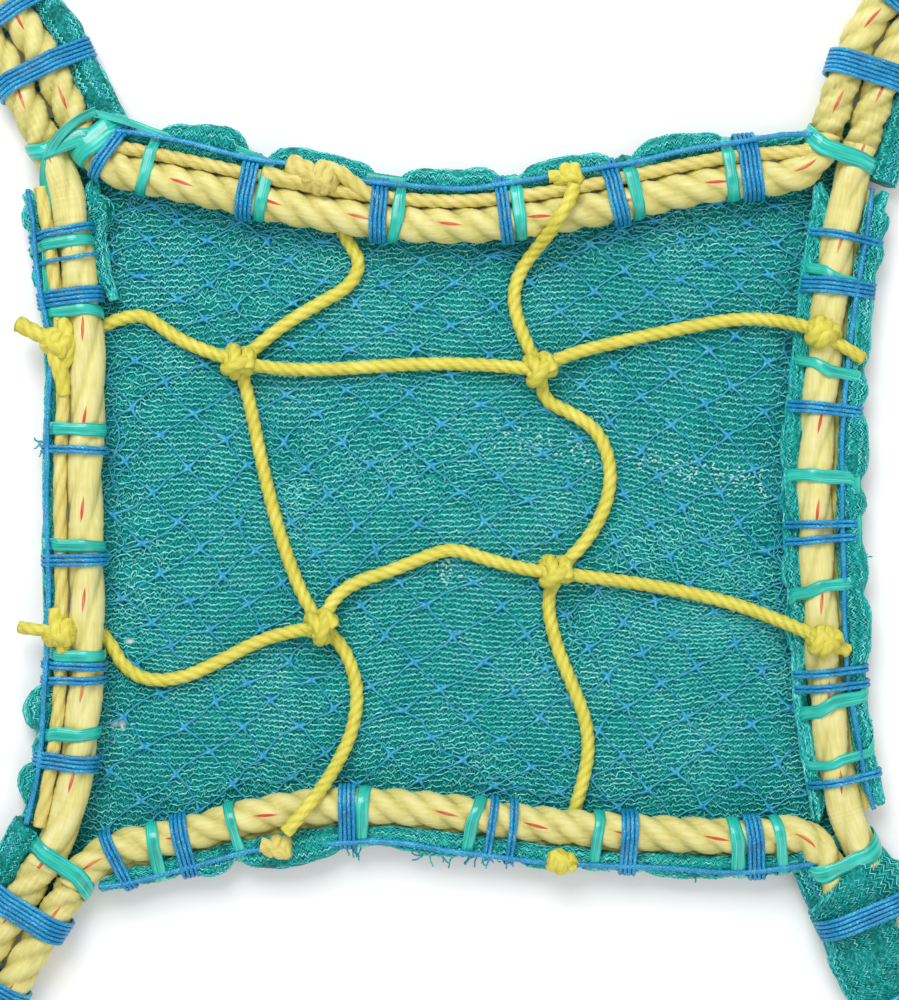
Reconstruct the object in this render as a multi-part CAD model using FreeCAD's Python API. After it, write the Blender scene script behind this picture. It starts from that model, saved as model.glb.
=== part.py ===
"""A knotted safety-net panel, laid flat: a 12 mm laid border rope with an eye at each corner,
a grid of thin mesh cords knotted where they cross, a blue fishing net and a green knitted debris net
behind them, and the twine and flat tape that lash the nets to the border.

Millimetres. +X is right, +Y is the rear side, +Z is up, and the nets lie on z = 0.
The origin is under the middle of the four corner eyes. The panel folds in half about a line along Y,
and each corner loop folds up about a line across its throat.
"""

import FreeCAD
import Part

import math
import os

V = FreeCAD.Vector

# --- ropes, cords, twine and tape ---
ROPE_D = 12.0  # three-strand border rope
CORD_D = 4.5  # mesh cord and selvedge cord
TWINE_D = 1.5  # lashing twine
TAPE_W = 3.6  # flat lashing tape
TAPE_T = 0.5
DEBRIS_T = 0.8  # knitted debris net
FISHNET_T = 0.5  # knotted fishing net
CLEAR = 0.1  # between pieces that lie against each other

# --- heights, from the nets up ---
NET_TOP = DEBRIS_T + FISHNET_T
ROPE_Z = NET_TOP + CLEAR + TWINE_D + CLEAR + ROPE_D / 2
CORD_Z = NET_TOP + CLEAR + CORD_D / 2
OVER_Z = ROPE_Z + ROPE_D / 2 + CLEAR + CORD_D / 2  # a cord that lies over the border rope
CROSS_LOW_Z = CORD_Z + 0.7  # the column cord inside a knot
CROSS_HIGH_Z = CROSS_LOW_Z + CORD_D + 1.0  # the row cord inside a knot, before its bend is rounded
EYE_Z = ROPE_D / 2 + CLEAR  # the corner eyes lie on the ground
FOLD_Z = OVER_Z + CORD_D / 2 + 2.5  # the fold line lies above every piece of the panel
THROAT_Z = ROPE_Z + ROPE_D / 2 + CLEAR + TWINE_D + 1.0  # and each loop's line above every piece of the loop

# --- plan of the panel ---
FOLD_X = -5.0  # the line that the panel folds about
SPLIT = 0.1  # half of the gap between the two halves
LEG_GAP = 0.3  # between the two legs of a corner loop
LEG_BEND = 12.0  # radius of a leg's bend at its knee
LEG_RUN = 14.0  # from a throat back to the point where its rope turns along a side
EYE_X, EYE_Y = 172.0, 192.0  # centre of each corner eye's round end
EYE_R = 14.0  # centreline radius of that end
EYE_SPREAD = math.radians(20)  # angle at which an eye's legs open
END_SHARE = 0.58  # how much of a route's first or last run its bend may take

# Each corner: sign of x, sign of y, throat, and the knee where its two legs turn towards the eye.
CORNERS = {
    "rear_left": (-1, 1, (-129.0, 124.0), (-142.0, 151.0)),
    "rear_right": (1, 1, (131.0, 123.0), (141.5, 156.0)),
    "front_left": (-1, -1, (-131.0, -122.0), (-146.0, -146.0)),
    "front_right": (1, -1, (132.0, -117.0), (145.0, -148.0)),
}

# Border rope between the corners. The rear and front sides run left to right, the others rear to front.
SIDES = {
    "rear": [(-92, 109.3), (-58, 101.5), (-28, 96.6), (-5, 94.5), (16, 95.2), (47, 99.8), (80, 107.2),
             (98, 110.2)],
    "front": [(-92, -109.4), (-61, -100.3), (-35, -98), (-5, -99.6), (27, -104.6), (58, -107.2),
              (82, -108.4), (101, -109.2)],
    "left": [(-126.5, 99), (-123.5, 77), (-120, 48), (-122, 12), (-121, -30), (-121.5, -62),
             (-125, -90)],
    "right": [(131, 97), (128, 83), (124.5, 50), (121.5, 20), (121.5, -5), (123.5, -40), (126.5, -73),
              (130, -94)],
}

# --- what lies beside the border rope, seen across it: outward from its axis, and height ---
SELVEDGE_ANGLE = math.radians(20)
SELVEDGE_REACH = ROPE_D / 2 + CORD_D / 2 + CLEAR
SELVEDGE_OUT = SELVEDGE_REACH * math.cos(SELVEDGE_ANGLE)
SELVEDGE_Z = ROPE_Z + SELVEDGE_REACH * math.sin(SELVEDGE_ANGLE)
HEM_R = 3.4  # rolled edge of the nets
HEM_OUT = ROPE_D / 2 + HEM_R + 1.4
HEM_Z = NET_TOP + CLEAR + TWINE_D + CLEAR + HEM_R
NET_OUT = HEM_OUT - 1.0  # the nets run out under the hem
HEM_INSET = 6.0  # a hem, and a selvedge cord, end this far short of a side's last points

# --- lashings, by place along the side (x, or y on the left and right) ---
# Twine: place, turns, and the side on which a tape lies close beside it (+1, -1, or 0 for none).
PAIR_GAP = 0.8  # between a tape and the twine beside it
TWINE = {
    "rear": [(-68, 4, 1), (-24, 4, 1), (18.3, 3, 1), (55.7, 4, 1), (100, 5, -1)],
    "front": [(-89.3, 4, 0), (-34.3, 4, 1), (14, 2, 0), (21, 2, 0), (59.5, 4, 0), (101, 4, -1)],
    "left": [(93, 2, -1), (83.7, 1, 0), (71.3, 4, -1), (20, 2, 0), (-16.5, 3, 1), (-51.8, 2, 1),
             (-56.6, 2, 0), (-84, 4, 0)],
    "right": [(91, 2, 0), (74.2, 4, 1), (33.7, 3, 0), (-4.8, 2, 0), (-9.8, 2, 0), (-54, 2, 0),
              (-59, 2, 0), (-90, 2, 0)],
}
TAPE = {  # tapes on their own
    "rear": [-101],
    "front": [-99, -72.3, 8, 48],
    "left": [26.7, -74.7],
    "right": [46.5, 9, -28.3, -64.5, -80],
}
THROAT_TAPE = 4.5  # width of the tape round both legs at a throat
# Two twine seizings on each corner loop: gap from the first to the knee's bend, and the turns of each. The
# second lies midway between that bend and the place where the legs open to the eye.
SEIZINGS = {
    "rear_left": (0.5, 5, 4),
    "rear_right": (0.3, 6, 4),
    "front_left": (8.0, 6, 5),
    "front_right": (10.0, 5, 4),
}

# --- mesh cords, each from its first border to its second, through two knots ---
KNOT_R = 5.2
KNOT_Z = (CROSS_LOW_Z + CROSS_HIGH_Z) / 2
KNOTS = {
    "rear_left": (-70.7, 49.3),
    "rear_right": (30.0, 46.7),
    "front_left": (-42.7, -39.0),
    "front_right": (35.3, -21.0),
}


def knot(name, z):
    """The point where a cord passes through a knot."""
    return (*KNOTS[name], z)


# Each cord's end at the inner side of a border rope is a side and a place along it.
ENTRIES = {
    "column_left": ("rear", -32.8),
    "column_right": ("front", 41.8),
    "row_rear": ("left", 62.0),
    "row_front": ("left", -45.0),
}
COLUMN_LEFT = [
    (-29.8, 83, CORD_Z), (-33.5, 75, CORD_Z), (-44, 69.3, CORD_Z),
    (-55, 62.7, CORD_Z), (-63.5, 56, CORD_Z + 0.3), knot("rear_left", CROSS_LOW_Z),
    (-67.3, 36.7, CORD_Z), (-62.7, 13.3, CORD_Z), (-56.7, -10, CORD_Z), (-49.5, -29.3, CORD_Z),
    knot("front_left", CROSS_LOW_Z), (-35, -46.7, CORD_Z), (-30.7, -60, CORD_Z),
    (-32.3, -73, CORD_Z), (-36.8, -83.5, CORD_Z + 1), (-41.5, -91, OVER_Z - 4.5),
    (-46.5, -97, OVER_Z + 1.2), (-50.5, -102, OVER_Z + 0.2), (-54.2, -106.4, OVER_Z),
]
COLUMN_RIGHT = [
    (41.2, 107.4, OVER_Z), (39.7, 102.5, OVER_Z + 0.2), (36.7, 97.5, OVER_Z + 1.2),
    (33, 91.8, OVER_Z - 3.5), (28.5, 87, CORD_Z + 3), (23.3, 80, CORD_Z), (21, 71.5, CORD_Z),
    (23.3, 61, CORD_Z), knot("rear_right", CROSS_LOW_Z), (31.5, 36.5, CORD_Z), (41, 32.5, CORD_Z),
    (50, 26.3, CORD_Z), (54.3, 14.5, CORD_Z), (52.7, 1.5, CORD_Z), (46, -10.5, CORD_Z),
    knot("front_right", CROSS_LOW_Z), (32.5, -31, CORD_Z), (35, -43.5, CORD_Z), (40, -56.5, CORD_Z),
    (45, -68.3, CORD_Z), (46.7, -79, CORD_Z), (45.2, -89, CORD_Z),
]
ROW_REAR_LEFT = [
    (-107.5, 65, CORD_Z), (-102, 65.2, CORD_Z), (-97, 61.5, CORD_Z),
    (-90, 56.7, CORD_Z), (-81, 53, CORD_Z + 1.3), knot("rear_left", CROSS_HIGH_Z),
    (-57.5, 47, CORD_Z + 1.6), (-40, 47.1, CORD_Z), (-22, 48.4, CORD_Z),
]
ROW_REAR_RIGHT = [
    (9, 48.8, CORD_Z), (20, 48, CORD_Z + 1.8), knot("rear_right", CROSS_HIGH_Z),
    (39, 52, CORD_Z + 1.6), (56.7, 56.5, CORD_Z), (76.7, 60.7, CORD_Z), (94, 64, CORD_Z),
    (106, 64, CORD_Z + 1.5), (114.5, 62, OVER_Z - 6), (120.5, 59.7, OVER_Z - 0.4),
]
ROW_FRONT_LEFT = [
    (-110.3, -51.8, CORD_Z), (-102.5, -57.3, CORD_Z),
    (-90, -56.7, CORD_Z), (-76.7, -50.5, CORD_Z), (-64, -43.7, CORD_Z), (-52.5, -40.5, CORD_Z + 1.6),
    knot("front_left", CROSS_HIGH_Z), (-39.5, -30, CORD_Z + 1.8), (-32, -24.2, CORD_Z),
    (-20, -20.5, CORD_Z),
]
ROW_FRONT_RIGHT = [
    (1, -12.8, CORD_Z), (13, -16.8, CORD_Z), (24.5, -19.7, CORD_Z + 1.8),
    knot("front_right", CROSS_HIGH_Z), (48, -22.6, CORD_Z + 1.6), (70, -25.6, CORD_Z),
    (92, -30.4, CORD_Z), (105, -34.8, CORD_Z + 1.5), (113.5, -38.3, OVER_Z - 6),
    (119.8, -41.2, OVER_Z - 0.4),
]
# A row cord crosses the fold line at these points.
FOLD_REAR = (FOLD_X, 49.2, CORD_Z)
FOLD_FRONT = (FOLD_X - 2, -15.2, CORD_Z)

# Hitches that tie the mesh cords to the border: side, place along it, outward from the rope's axis,
# height above that axis, knot radius, and the free tail as (along, outward, up) from the knot's middle.
HITCHES = {
    "hitch_left_rear": ("left", 55.5, 8.6, 4.6, 4.4, (8, 13, -0.5)),
    "hitch_left_front": ("left", -40.5, 7.6, 4.9, 4.8, (1.5, 14, -2)),
    "hitch_rear_left": ("rear", -43.5, 12.6, 2.8, 4.8, (-10, 3, 0.8)),
    "hitch_front_left": ("front", -58.5, 11.6, 3.2, 3.6, (-6, -2, 2)),
    "hitch_right_rear": ("right", 58.2, -2.8, 6.8, 5.0, (-7, 15, -2.2)),
    "hitch_right_front": ("right", -43.2, -0.6, 7.4, 5.2, (-4, 8, -3)),
    "hitch_rear_right": ("rear", 41.6, 12.2, 2.6, 3.8, (-7, 0.5, 1.5)),
    "hitch_front_right": ("front", 37.5, 11.4, 2.6, 3.8, (5, 1.5, 0.5)),
}


def corner_axes(name, start, end):
    """Unit vector from start to end, and the one across it towards the corner's rear or front rope."""
    sx, sy = CORNERS[name][:2]
    along = (V(*end, 0) - V(*start, 0)).normalize()
    return along, V(-sx * abs(along.y), sy * abs(along.x), 0)


def throat(name, side):
    """Where a border rope meets the corner loop, and the point where its straight end begins.
    side is +1 for the rear or front rope and -1 for the left or right rope."""
    point, knee = CORNERS[name][2:]
    along, across = corner_axes(name, point, knee)
    end = V(*point, ROPE_Z) + across * (side * (ROPE_D + LEG_GAP) / 2)
    return end, end - along * LEG_RUN


def side_route(name):
    """The whole border rope of one side, from throat to throat."""
    first, last = {
        "rear": ("rear_left", "rear_right"),
        "front": ("front_left", "front_right"),
        "left": ("rear_left", "front_left"),
        "right": ("rear_right", "front_right"),
    }[name]
    side = 1 if name in ("rear", "front") else -1
    begin, end = throat(first, side), throat(last, side)
    return [*begin, *[V(x, y, ROPE_Z) for x, y in SIDES[name]], end[1], end[0]]


def outward(name):
    """The sideways direction from the panel's middle to a side."""
    return {"rear": V(0, 1, 0), "front": V(0, -1, 0), "left": V(-1, 0, 0), "right": V(1, 0, 0)}[name]


def beside(name, out, z):
    """The side's own points, moved outward from the rope's axis and set at a height."""
    points = [V(x, y, z) for x, y in SIDES[name]]
    moved = []
    for i, p in enumerate(points):
        before, after = points[max(i - 1, 0)], points[min(i + 1, len(points) - 1)]
        run = (after - before).normalize()
        across = V(run.y, -run.x, 0)
        if across.dot(outward(name)) < 0:
            across = across * -1
        moved.append(p + across * out)
    return moved


def rounded(points, radius=math.inf):
    """A wire of straight runs joined by tangent arcs, and the smallest arc radius. An arc takes 0.45
    of the shorter run beside it, or END_SHARE of a first or last run, and never passes the radius."""
    edges, smallest = [], math.inf
    start = points[0]
    last_corner = len(points) - 2
    for i, (before, corner, after) in enumerate(zip(points, points[1:], points[2:]), 1):
        a, b = before - corner, after - corner
        turn = math.pi - a.getAngle(b)
        if turn < 1e-4:
            continue
        room_a = a.Length * (END_SHARE if i == 1 else 0.45)
        room_b = b.Length * (END_SHARE if i == last_corner else 0.45)
        reach = min(room_a, room_b, radius * math.tan(turn / 2))
        arc_radius = reach / math.tan(turn / 2)
        smallest = min(smallest, arc_radius)
        a.normalize()
        b.normalize()
        first, last = corner + a * reach, corner + b * reach
        bisector = (a + b).normalize()
        centre = corner + bisector * (arc_radius / math.cos(turn / 2))
        middle = centre - bisector * arc_radius
        edges += [Part.LineSegment(start, first).toShape(), Part.Arc(first, middle, last).toShape()]
        start = last
    edges.append(Part.LineSegment(start, points[-1]).toShape())
    return Part.Wire(edges), smallest


def pipe(wire, diameter):
    """A round solid along a wire, checked against its section times its length."""
    edge = wire.OrderedEdges[0]
    begin = edge.valueAt(edge.FirstParameter)
    heading = edge.tangentAt(edge.FirstParameter)
    ring = Part.Wire([Part.Circle(begin, heading, diameter / 2).toShape()])
    solid = wire.makePipeShell([ring], True, False)
    expected = math.pi * diameter**2 / 4 * wire.Length
    if not solid.isValid() or abs(solid.Volume - expected) > 0.02 * expected:
        raise ValueError(f"pipe: volume {solid.Volume:.0f}, expected {expected:.0f}")
    return solid


def tube(points, diameter, label=None):
    """A round solid along runs and arcs through hand-placed points."""
    wire, smallest = rounded([V(*p) for p in points])
    if label:
        print(f"{label}: {wire.Length:.0f} mm long, tightest arc {smallest:.1f} mm")
    return pipe(wire, diameter)


def half_space(right):
    """A large block that fills one half of the panel, up to the fold gap."""
    size = 600.0
    x = FOLD_X + SPLIT if right else FOLD_X - SPLIT - size
    return Part.makeBox(size, size, size, V(x, -size / 2, -size / 2))


def halves(shape):
    """The left and right parts of a shape that crosses the fold."""
    return shape.common(half_space(False)), shape.common(half_space(True))


def belt(circles, gap, thickness):
    """A closed flat ring face round circles given as (across, up, radius), counter-clockwise from below."""

    def loop(grow):
        grown = [(V(a, u, 0), r + grow) for a, u, r in circles]
        lines = []
        for (p, rp), (q, rq) in zip(grown, grown[1:] + grown[:1]):
            run = q - p
            lean = math.asin((rp - rq) / run.Length)
            heading = math.atan2(run.y, run.x) - math.pi / 2 + lean
            normal = V(math.cos(heading), math.sin(heading), 0)
            lines.append((p + normal * rp, q + normal * rq))
        edges = []
        for i, (start, end) in enumerate(lines):
            centre, radius = grown[i]
            arrive = lines[i - 1][1]
            begin = math.atan2(arrive.y - centre.y, arrive.x - centre.x)
            sweep = (math.atan2(start.y - centre.y, start.x - centre.x) - begin) % (2 * math.pi)
            middle = V(math.cos(begin + sweep / 2), math.sin(begin + sweep / 2), 0)
            edges.append(Part.Arc(arrive, centre + middle * radius, start).toShape())
            edges.append(Part.LineSegment(start, end).toShape())
        return Part.Wire(edges)

    outer, inner = loop(gap + thickness), loop(gap)
    return Part.Face([outer, inner])


def band(circles, place, across, width, thickness):
    """A belt round circles given as (outward, up, radius) from the ground under place."""
    ring = belt(circles, CLEAR, thickness).extrude(V(0, 0, width))
    along = V(across.y, -across.x, 0)
    start = place - along * (width / 2)
    ring.Placement = FreeCAD.Placement(FreeCAD.Matrix(
        across.x, 0, along.x, start.x,
        across.y, 0, along.y, start.y,
        0, 1, 0, 0,
        0, 0, 0, 1,
    ))
    return ring


def on_side(name, place):
    """The point on a side's border axis at a place along it, the direction of travel, and outward."""
    points = rounded(side_route(name))[0].discretize(600)
    key = (lambda p: p.x) if name in ("rear", "front") else (lambda p: p.y)
    for p, q in zip(points, points[1:]):
        if min(key(p), key(q)) <= place <= max(key(p), key(q)):
            run = (q - p).normalize()
            across = V(run.y, -run.x, 0)
            if across.dot(outward(name)) < 0:
                across = across * -1
            return (p + q) * 0.5, run, across
    raise ValueError(f"{name} has no place {place}")


def entry(cord):
    """Where a mesh cord comes out from under a border rope, just clear of the lashings round it."""
    side, place = ENTRIES[cord]
    point, _, across = on_side(side, place)
    inner = point - across * (ROPE_D / 2 + CLEAR + TWINE_D + 2 * CLEAR)
    return (inner.x, inner.y, CORD_Z)


# Circles across a side, counter-clockwise seen with outward to the right: rope, hem, selvedge cord.
SIDE_BUNDLE = [
    (0, ROPE_Z, ROPE_D / 2),
    (HEM_OUT, HEM_Z, HEM_R),
    (SELVEDGE_OUT, SELVEDGE_Z, CORD_D / 2),
]


def side_band(name, place, width, thickness):
    """One lashing round the rope, the hem and the selvedge cord of a side."""
    point, _, across = on_side(name, place)
    return band(SIDE_BUNDLE, V(point.x, point.y, 0), across, width, thickness)


GATHER_R = 4.2  # the nets rolled together beside a corner loop's legs
GATHER_Z = CLEAR + TWINE_D + CLEAR + GATHER_R
GATHER_OUT = ROPE_D + LEG_GAP / 2 + GATHER_R + CLEAR  # from the middle of the legs
GATHER_SIDE = {"rear_left": 1, "rear_right": -1, "front_left": -1, "front_right": 1}
GATHER_START = 2.0  # distance from the throat
GATHER_TAIL = 0.8  # how far the rolled nets run past the second seizing


def loop_frame(name):
    """A corner loop's throat, knee and eye centre, with the along and across directions of each half."""
    sx, sy, point, knee = CORNERS[name]
    eye = (sx * EYE_X, sy * EYE_Y)
    return V(*point, 0), V(*knee, 0), V(*eye, 0), corner_axes(name, point, knee), corner_axes(name, knee, eye)


def loop_line(name, out):
    """Where a line that keeps a distance from the middle of a loop's legs turns at the knee."""
    _, knee, _, (_, across_first), (_, across_last) = loop_frame(name)
    miter = (across_first + across_last).normalize()
    return knee + miter * (out / miter.dot(across_first))


def eye_shape():
    """Length of each leg where it opens, its share along the loop, and the eye's centre past its legs."""
    half = (ROPE_D + LEG_GAP) / 2
    opening = (EYE_R * math.cos(EYE_SPREAD) - half) / math.sin(EYE_SPREAD)
    return opening, opening * math.cos(EYE_SPREAD), EYE_R * math.sin(EYE_SPREAD)


def loop_route(name):
    """The centreline of one corner loop as a wire: out along one leg, round the eye and back."""
    point, _, eye, (first, across_first), (last, across_last) = loop_frame(name)
    half = (ROPE_D + LEG_GAP) / 2
    opening, forward, near = eye_shape()
    up, down = V(0, 0, ROPE_Z), V(0, 0, EYE_Z)
    lie = 0.55  # share of the opening leg that already lies on the ground
    legs = []
    for side in (1, -1):
        wide = EYE_R * math.cos(EYE_SPREAD)
        legs.append([
            point + first * CLEAR + across_first * (side * half) + up,
            loop_line(name, side * half) + up,
            eye - last * (near + forward) + across_last * (side * half) + up,
            eye - last * (near + forward * lie)
            + across_last * (side * (wide - opening * lie * math.sin(EYE_SPREAD))) + down,
            eye - last * near + across_last * (side * wide) + down,
        ])
    out, tight_out = rounded(legs[0], LEG_BEND)
    home, tight_home = rounded(legs[1][::-1], LEG_BEND)
    crown = Part.Arc(legs[0][-1], eye + last * EYE_R + down, legs[1][-1]).toShape()
    wire = Part.Wire(out.OrderedEdges + [crown] + home.OrderedEdges)
    print(f"loop {name}: {wire.Length:.0f} mm long, tightest arc {min(tight_out, tight_home, EYE_R):.1f} mm")
    return wire


def loop_place(name, distance):
    """The point midway between a corner loop's legs at a distance from the throat, and across there."""
    point, knee, _, (first, across_first), (last, across_last) = loop_frame(name)
    reach = (knee - point).Length
    if distance <= reach:
        return point + first * distance, across_first
    return knee + last * (distance - reach), across_last


def leg_stations(name):
    """Distances from the throat: where the knee's bend starts and ends, and where the legs open."""
    point, knee, eye, (first, _), (last, _) = loop_frame(name)
    bend = (LEG_BEND + GATHER_OUT) * math.tan(first.getAngle(last) / 2)
    reach = (knee - point).Length
    _, forward, near = eye_shape()
    return reach - bend, reach + bend, reach + (eye - knee).Length - near - forward


def seizing_places(name):
    """Distance from the throat, and width, of each twine seizing."""
    start, end, opens = leg_stations(name)
    gap, turns_first, turns_second = SEIZINGS[name]
    first = start - gap - turns_first * TWINE_D / 2
    second = (end + opens - LEG_BEND * math.tan(EYE_SPREAD / 2)) / 2
    return [(first, turns_first * TWINE_D), (second, turns_second * TWINE_D)]


def gather_end(name):
    """Distance from the throat at which the rolled nets end."""
    place, width = seizing_places(name)[1]
    return place + width / 2 + GATHER_TAIL


def gather(name):
    """The nets' corner, rolled along one side of the loop."""
    out = GATHER_SIDE[name] * GATHER_OUT
    start, across_start = loop_place(name, GATHER_START)
    end, across_end = loop_place(name, gather_end(name))
    route = [start + across_start * out, loop_line(name, out), end + across_end * out]
    wire, _ = rounded([p + V(0, 0, GATHER_Z) for p in route], LEG_BEND)
    return pipe(wire, 2 * GATHER_R)


def leg_band(name, distance, width, thickness, with_gather):
    """A band round both legs of a loop, and round the rolled nets if they are there."""
    place, across = loop_place(name, distance)
    half = (ROPE_D + LEG_GAP) / 2
    circles = [(-half, ROPE_Z, ROPE_D / 2), (half, ROPE_Z, ROPE_D / 2)]
    if with_gather:
        circles.insert(1, (GATHER_OUT, GATHER_Z, GATHER_R))
    return band(circles, place, across * GATHER_SIDE[name], width, thickness)


def net_plate(out, low, thickness):
    """A flat net as wide as the border, with each edge following its side."""
    edges = []
    corner = {}
    for name, (_, _, point, knee) in CORNERS.items():
        along, _ = corner_axes(name, point, knee)
        corner[name] = V(*point, low) - along * 2.0
    order = [("rear", "rear_left", "rear_right"), ("right", "rear_right", "front_right"),
             ("front", "front_right", "front_left"), ("left", "front_left", "rear_left")]
    for side, start, end in order:
        points = beside(side, out, low)
        if side in ("front", "left"):
            points = points[::-1]
        curve = Part.BSplineCurve()
        curve.interpolate([corner[start], *points, corner[end]])
        edges.append(curve.toShape())
    return Part.Face(Part.Wire(edges)).extrude(V(0, 0, thickness))


def mesh_knot(name, column, row):
    """A ball-shaped knot with the two cords' channels cut through it."""
    ball = Part.makeSphere(KNOT_R, V(*KNOTS[name], KNOT_Z), V(1, 0.4, 0.3))
    return ball.cut(tube(column, CORD_D + 2 * CLEAR)).cut(tube(row, CORD_D + 2 * CLEAR))


def hitch(name, neighbours):
    """A knot on the border with its free tail, trimmed to the ropes that it lies against."""
    side, place, out, up, radius, tail = HITCHES[name]
    point, run, across = on_side(side, place)
    if run.x + run.y < 0:
        run = run * -1  # along is always towards +X or +Y
    middle = point + across * out + V(0, 0, up)
    end = middle + run * tail[0] + across * tail[1] + V(0, 0, tail[2])
    ball = Part.makeSphere(radius, middle, end - middle)
    stub = Part.makeCylinder(CORD_D / 2, (end - middle).Length, middle, end - middle)
    solid = ball.fuse(stub)
    for other in neighbours:
        solid = solid.cut(other)
    return max(solid.Solids, key=lambda s: s.Volume)


def trimmed(points, first, last):
    """Points of a side without the ends, which stop short by an inset."""
    begin = points[0] + (points[1] - points[0]).normalize() * first
    end = points[-1] + (points[-2] - points[-1]).normalize() * last
    return [begin, *points[1:-1], end]


def build():
    """Every node of the panel, by name."""
    nodes = {}
    ropes, selvedges, hems = {}, {}, {}
    for side in SIDES:
        wire, smallest = rounded(side_route(side))
        print(f"border {side}: {wire.Length:.0f} mm long, tightest arc {smallest:.1f} mm")
        ropes[side] = pipe(wire, ROPE_D)
        selvedges[side] = tube(trimmed(beside(side, SELVEDGE_OUT, SELVEDGE_Z), HEM_INSET, HEM_INSET), CORD_D)
        hems[side] = tube(trimmed(beside(side, HEM_OUT, HEM_Z), HEM_INSET, HEM_INSET), 2 * HEM_R)
    for label, family in (("border_rope", ropes), ("selvedge_cord", selvedges), ("net_hem", hems)):
        for side in ("left", "right"):
            nodes[f"{label}_{side}"] = family[side]
        for side in ("rear", "front"):
            nodes[f"{label}_{side}_left"], nodes[f"{label}_{side}_right"] = halves(family[side])

    nodes["debris_net_left"], nodes["debris_net_right"] = halves(net_plate(NET_OUT, 0, DEBRIS_T))
    nodes["fishing_net_left"], nodes["fishing_net_right"] = halves(
        net_plate(NET_OUT - 1, DEBRIS_T, FISHNET_T)
    )

    routes = {
        "column_left": [entry("column_left"), *COLUMN_LEFT],
        "column_right": [*COLUMN_RIGHT, entry("column_right")],
        "row_rear": [entry("row_rear"), *ROW_REAR_LEFT, FOLD_REAR, *ROW_REAR_RIGHT],
        "row_front": [entry("row_front"), *ROW_FRONT_LEFT, FOLD_FRONT, *ROW_FRONT_RIGHT],
    }
    cords = {name: tube(route, CORD_D, name) for name, route in routes.items()}
    for side, shape in ropes.items():
        cords = {name: cord.cut(shape) for name, cord in cords.items()}
    nodes["mesh_cord_column_left"] = cords["column_left"]
    nodes["mesh_cord_column_right"] = cords["column_right"]
    for row in ("rear", "front"):
        left, right = halves(cords[f"row_{row}"])
        nodes[f"mesh_cord_row_{row}_left"], nodes[f"mesh_cord_row_{row}_right"] = left, right
    for name in KNOTS:
        row, column = name.split("_")
        nodes[f"mesh_knot_{name}"] = mesh_knot(name, routes[f"column_{column}"], routes[f"row_{row}"])

    for name, (side, *_) in HITCHES.items():
        around = [ropes[side], selvedges[side], hems[side], *cords.values()]
        nodes[name] = hitch(name, around)

    twine, tape = {"left": [], "right": []}, {"left": [], "right": []}
    for side in SIDES:
        for place, turns, beside_it in TWINE[side]:
            half = side if side in twine else ("left" if place < FOLD_X else "right")
            twine[half].append(side_band(side, place, turns * TWINE_D, TWINE_D))
            if beside_it:
                step = turns * TWINE_D / 2 + PAIR_GAP + TAPE_W / 2
                tape[half].append(side_band(side, place + beside_it * step, TAPE_W, TAPE_T))
        for place in TAPE[side]:
            half = side if side in tape else ("left" if place < FOLD_X else "right")
            tape[half].append(side_band(side, place, TAPE_W, TAPE_T))
    for name in CORNERS:
        half = name.split("_")[1]
        middle = -THROAT_TAPE / 2 - 0.5
        tape[half].append(leg_band(name, middle, THROAT_TAPE, TAPE_T, False))
    for half in ("left", "right"):
        nodes[f"twine_lashings_{half}"] = Part.makeCompound(twine[half])
        nodes[f"tape_lashings_{half}"] = Part.makeCompound(tape[half])

    for name in CORNERS:
        nodes[f"corner_loop_{name}"] = pipe(loop_route(name), ROPE_D)
        nodes[f"net_gather_{name}"] = gather(name)
        bands = [
            leg_band(name, distance, width, TWINE_D, True)
            for distance, width in seizing_places(name)
        ]
        nodes[f"corner_seizing_{name}"] = Part.makeCompound(bands)
    return nodes


def main():
    os.makedirs("parts", exist_ok=True)
    for name, shape in build().items():
        shape.exportStep(os.path.join("parts", f"{name}.step"))
    print(f"fold line at x {FOLD_X}, z {FOLD_Z:.2f} mm; rope axis {ROPE_Z:.2f} mm")
    for name in CORNERS:
        point, _, eye, (along, _), (last, _) = loop_frame(name)
        print(f"{name}: hinge at ({point.x}, {point.y}, {THROAT_Z:.2f}), along ({along.x:.5f}, {along.y:.5f}),"
              f" eye at ({eye.x}, {eye.y}) heading ({last.x:.4f}, {last.y:.4f})")


main()
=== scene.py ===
# %% [markdown]
# # A knotted safety-net panel
# A three-strand border rope is laid out as a square with an eye at each corner. Thin cords cross
# it and are knotted where they meet. Behind them lie two nets: a fine green knitted one that stops
# debris, and a coarse blue one with diamond meshes. Twine and flat tape lash the nets to the rope.
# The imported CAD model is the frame: it gives every place and every body that moves, and each cell
# below dresses a part of it with real strands, stitches and knots.

# %% Load the frame
import math
import random

import bmesh
import bpy
from mathutils import Matrix, Vector, noise


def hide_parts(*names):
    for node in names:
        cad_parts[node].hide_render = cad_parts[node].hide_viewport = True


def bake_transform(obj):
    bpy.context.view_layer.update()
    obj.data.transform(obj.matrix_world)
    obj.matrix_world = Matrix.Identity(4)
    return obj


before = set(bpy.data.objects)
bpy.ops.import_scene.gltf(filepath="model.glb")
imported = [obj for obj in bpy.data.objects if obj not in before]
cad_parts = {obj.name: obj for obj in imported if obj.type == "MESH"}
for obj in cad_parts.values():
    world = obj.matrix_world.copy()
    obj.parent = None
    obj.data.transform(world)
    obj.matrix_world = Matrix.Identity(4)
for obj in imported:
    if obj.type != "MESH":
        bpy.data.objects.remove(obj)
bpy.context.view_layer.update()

MM = 0.001
UP = Vector((0, 0, 1))
print("nodes:", len(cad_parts))

# %% [markdown]
# ## Camera and light
# The panel lies flat and is seen from straight above, so the camera looks down with the rear side
# at the top. A long lens keeps the ropes from leaning outward near the edges. One large soft light
# stands towards the rear and a second fills the front, as in a small photo tent.

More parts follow.
